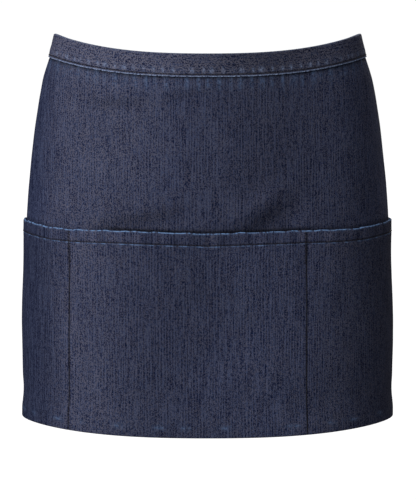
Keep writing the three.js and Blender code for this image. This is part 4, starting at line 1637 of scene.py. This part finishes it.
class APRON_OT_body_panel(bpy.types.Operator):
    """Hang the body panel from the waistband"""

    bl_idname = "apron.body_panel"
    bl_label = "Hang the body panel"

    def execute(self, context):
        make_body_panel(context)
        return {"FINISHED"}


class APRON_OT_pocket_panel(bpy.types.Operator):
    """Lay the pocket strip over the body panel"""

    bl_idname = "apron.pocket_panel"
    bl_label = "Sew the pockets"

    def execute(self, context):
        make_pocket_panel(context)
        return {"FINISHED"}


class APRON_OT_ties(bpy.types.Operator):
    """Run a tie from each end of the band to the knot"""

    bl_idname = "apron.ties"
    bl_label = "Sew the ties"

    def execute(self, context):
        for side in (-1, 1):
            make_tie(context, side)
        return {"FINISHED"}


class APRON_OT_bow(bpy.types.Operator):
    """Tie the bow at the back"""

    bl_idname = "apron.bow"
    bl_label = "Tie the bow"

    def execute(self, context):
        make_bow(context)
        return {"FINISHED"}


class APRON_OT_topstitching(bpy.types.Operator):
    """Stitch the band, the pockets and the side hems"""

    bl_idname = "apron.topstitching"
    bl_label = "Stitch the seams"

    def execute(self, context):
        make_topstitching(context)
        return {"FINISHED"}


class APRON_OT_studio(bpy.types.Operator):
    """Set up the floor, the lights and the camera"""

    bl_idname = "apron.studio"
    bl_label = "Set up the studio"

    def execute(self, context):
        make_studio(context)
        return {"FINISHED"}


OPERATORS = (
    APRON_OT_studio,
    APRON_OT_waistband,
    APRON_OT_body_panel,
    APRON_OT_pocket_panel,
    APRON_OT_ties,
    APRON_OT_bow,
    APRON_OT_topstitching,
)


class APRON_PT_sidebar(bpy.types.Panel):
    """Sizes, looks and steps of the apron"""

    bl_label = "Denim apron"
    bl_idname = "APRON_PT_sidebar"
    bl_space_type = "VIEW_3D"
    bl_region_type = "UI"
    bl_category = "Apron"

    def draw(self, context):
        layout = self.layout
        for operator in OPERATORS:
            layout.operator(operator.bl_idname)
        for label, group in SETTINGS.items():
            box = layout.box()
            box.label(text=group.__doc__)
            for name in group.__annotations__:
                box.prop(getattr(context.scene, label), name)


SETTINGS = {
    "apron_cut": CutSizes,
    "apron_worn": WornSizes,
    "apron_bow": BowSizes,
    "apron_looks": DenimLooks,
    "apron_studio": StudioSettings,
}
CLASSES = (*SETTINGS.values(), *OPERATORS, APRON_PT_sidebar)


def register():
    for made in CLASSES:
        bpy.utils.register_class(made)
    for label, group in SETTINGS.items():
        setattr(bpy.types.Scene, label, PointerProperty(type=group))


def unregister():
    for label in SETTINGS:
        delattr(bpy.types.Scene, label)
    for made in reversed(CLASSES):
        bpy.utils.unregister_class(made)


def main():
    register()
    for operator in OPERATORS:
        group, name = operator.bl_idname.split(".")
        getattr(getattr(bpy.ops, group), name)()


if __name__ == "__main__":
    main()
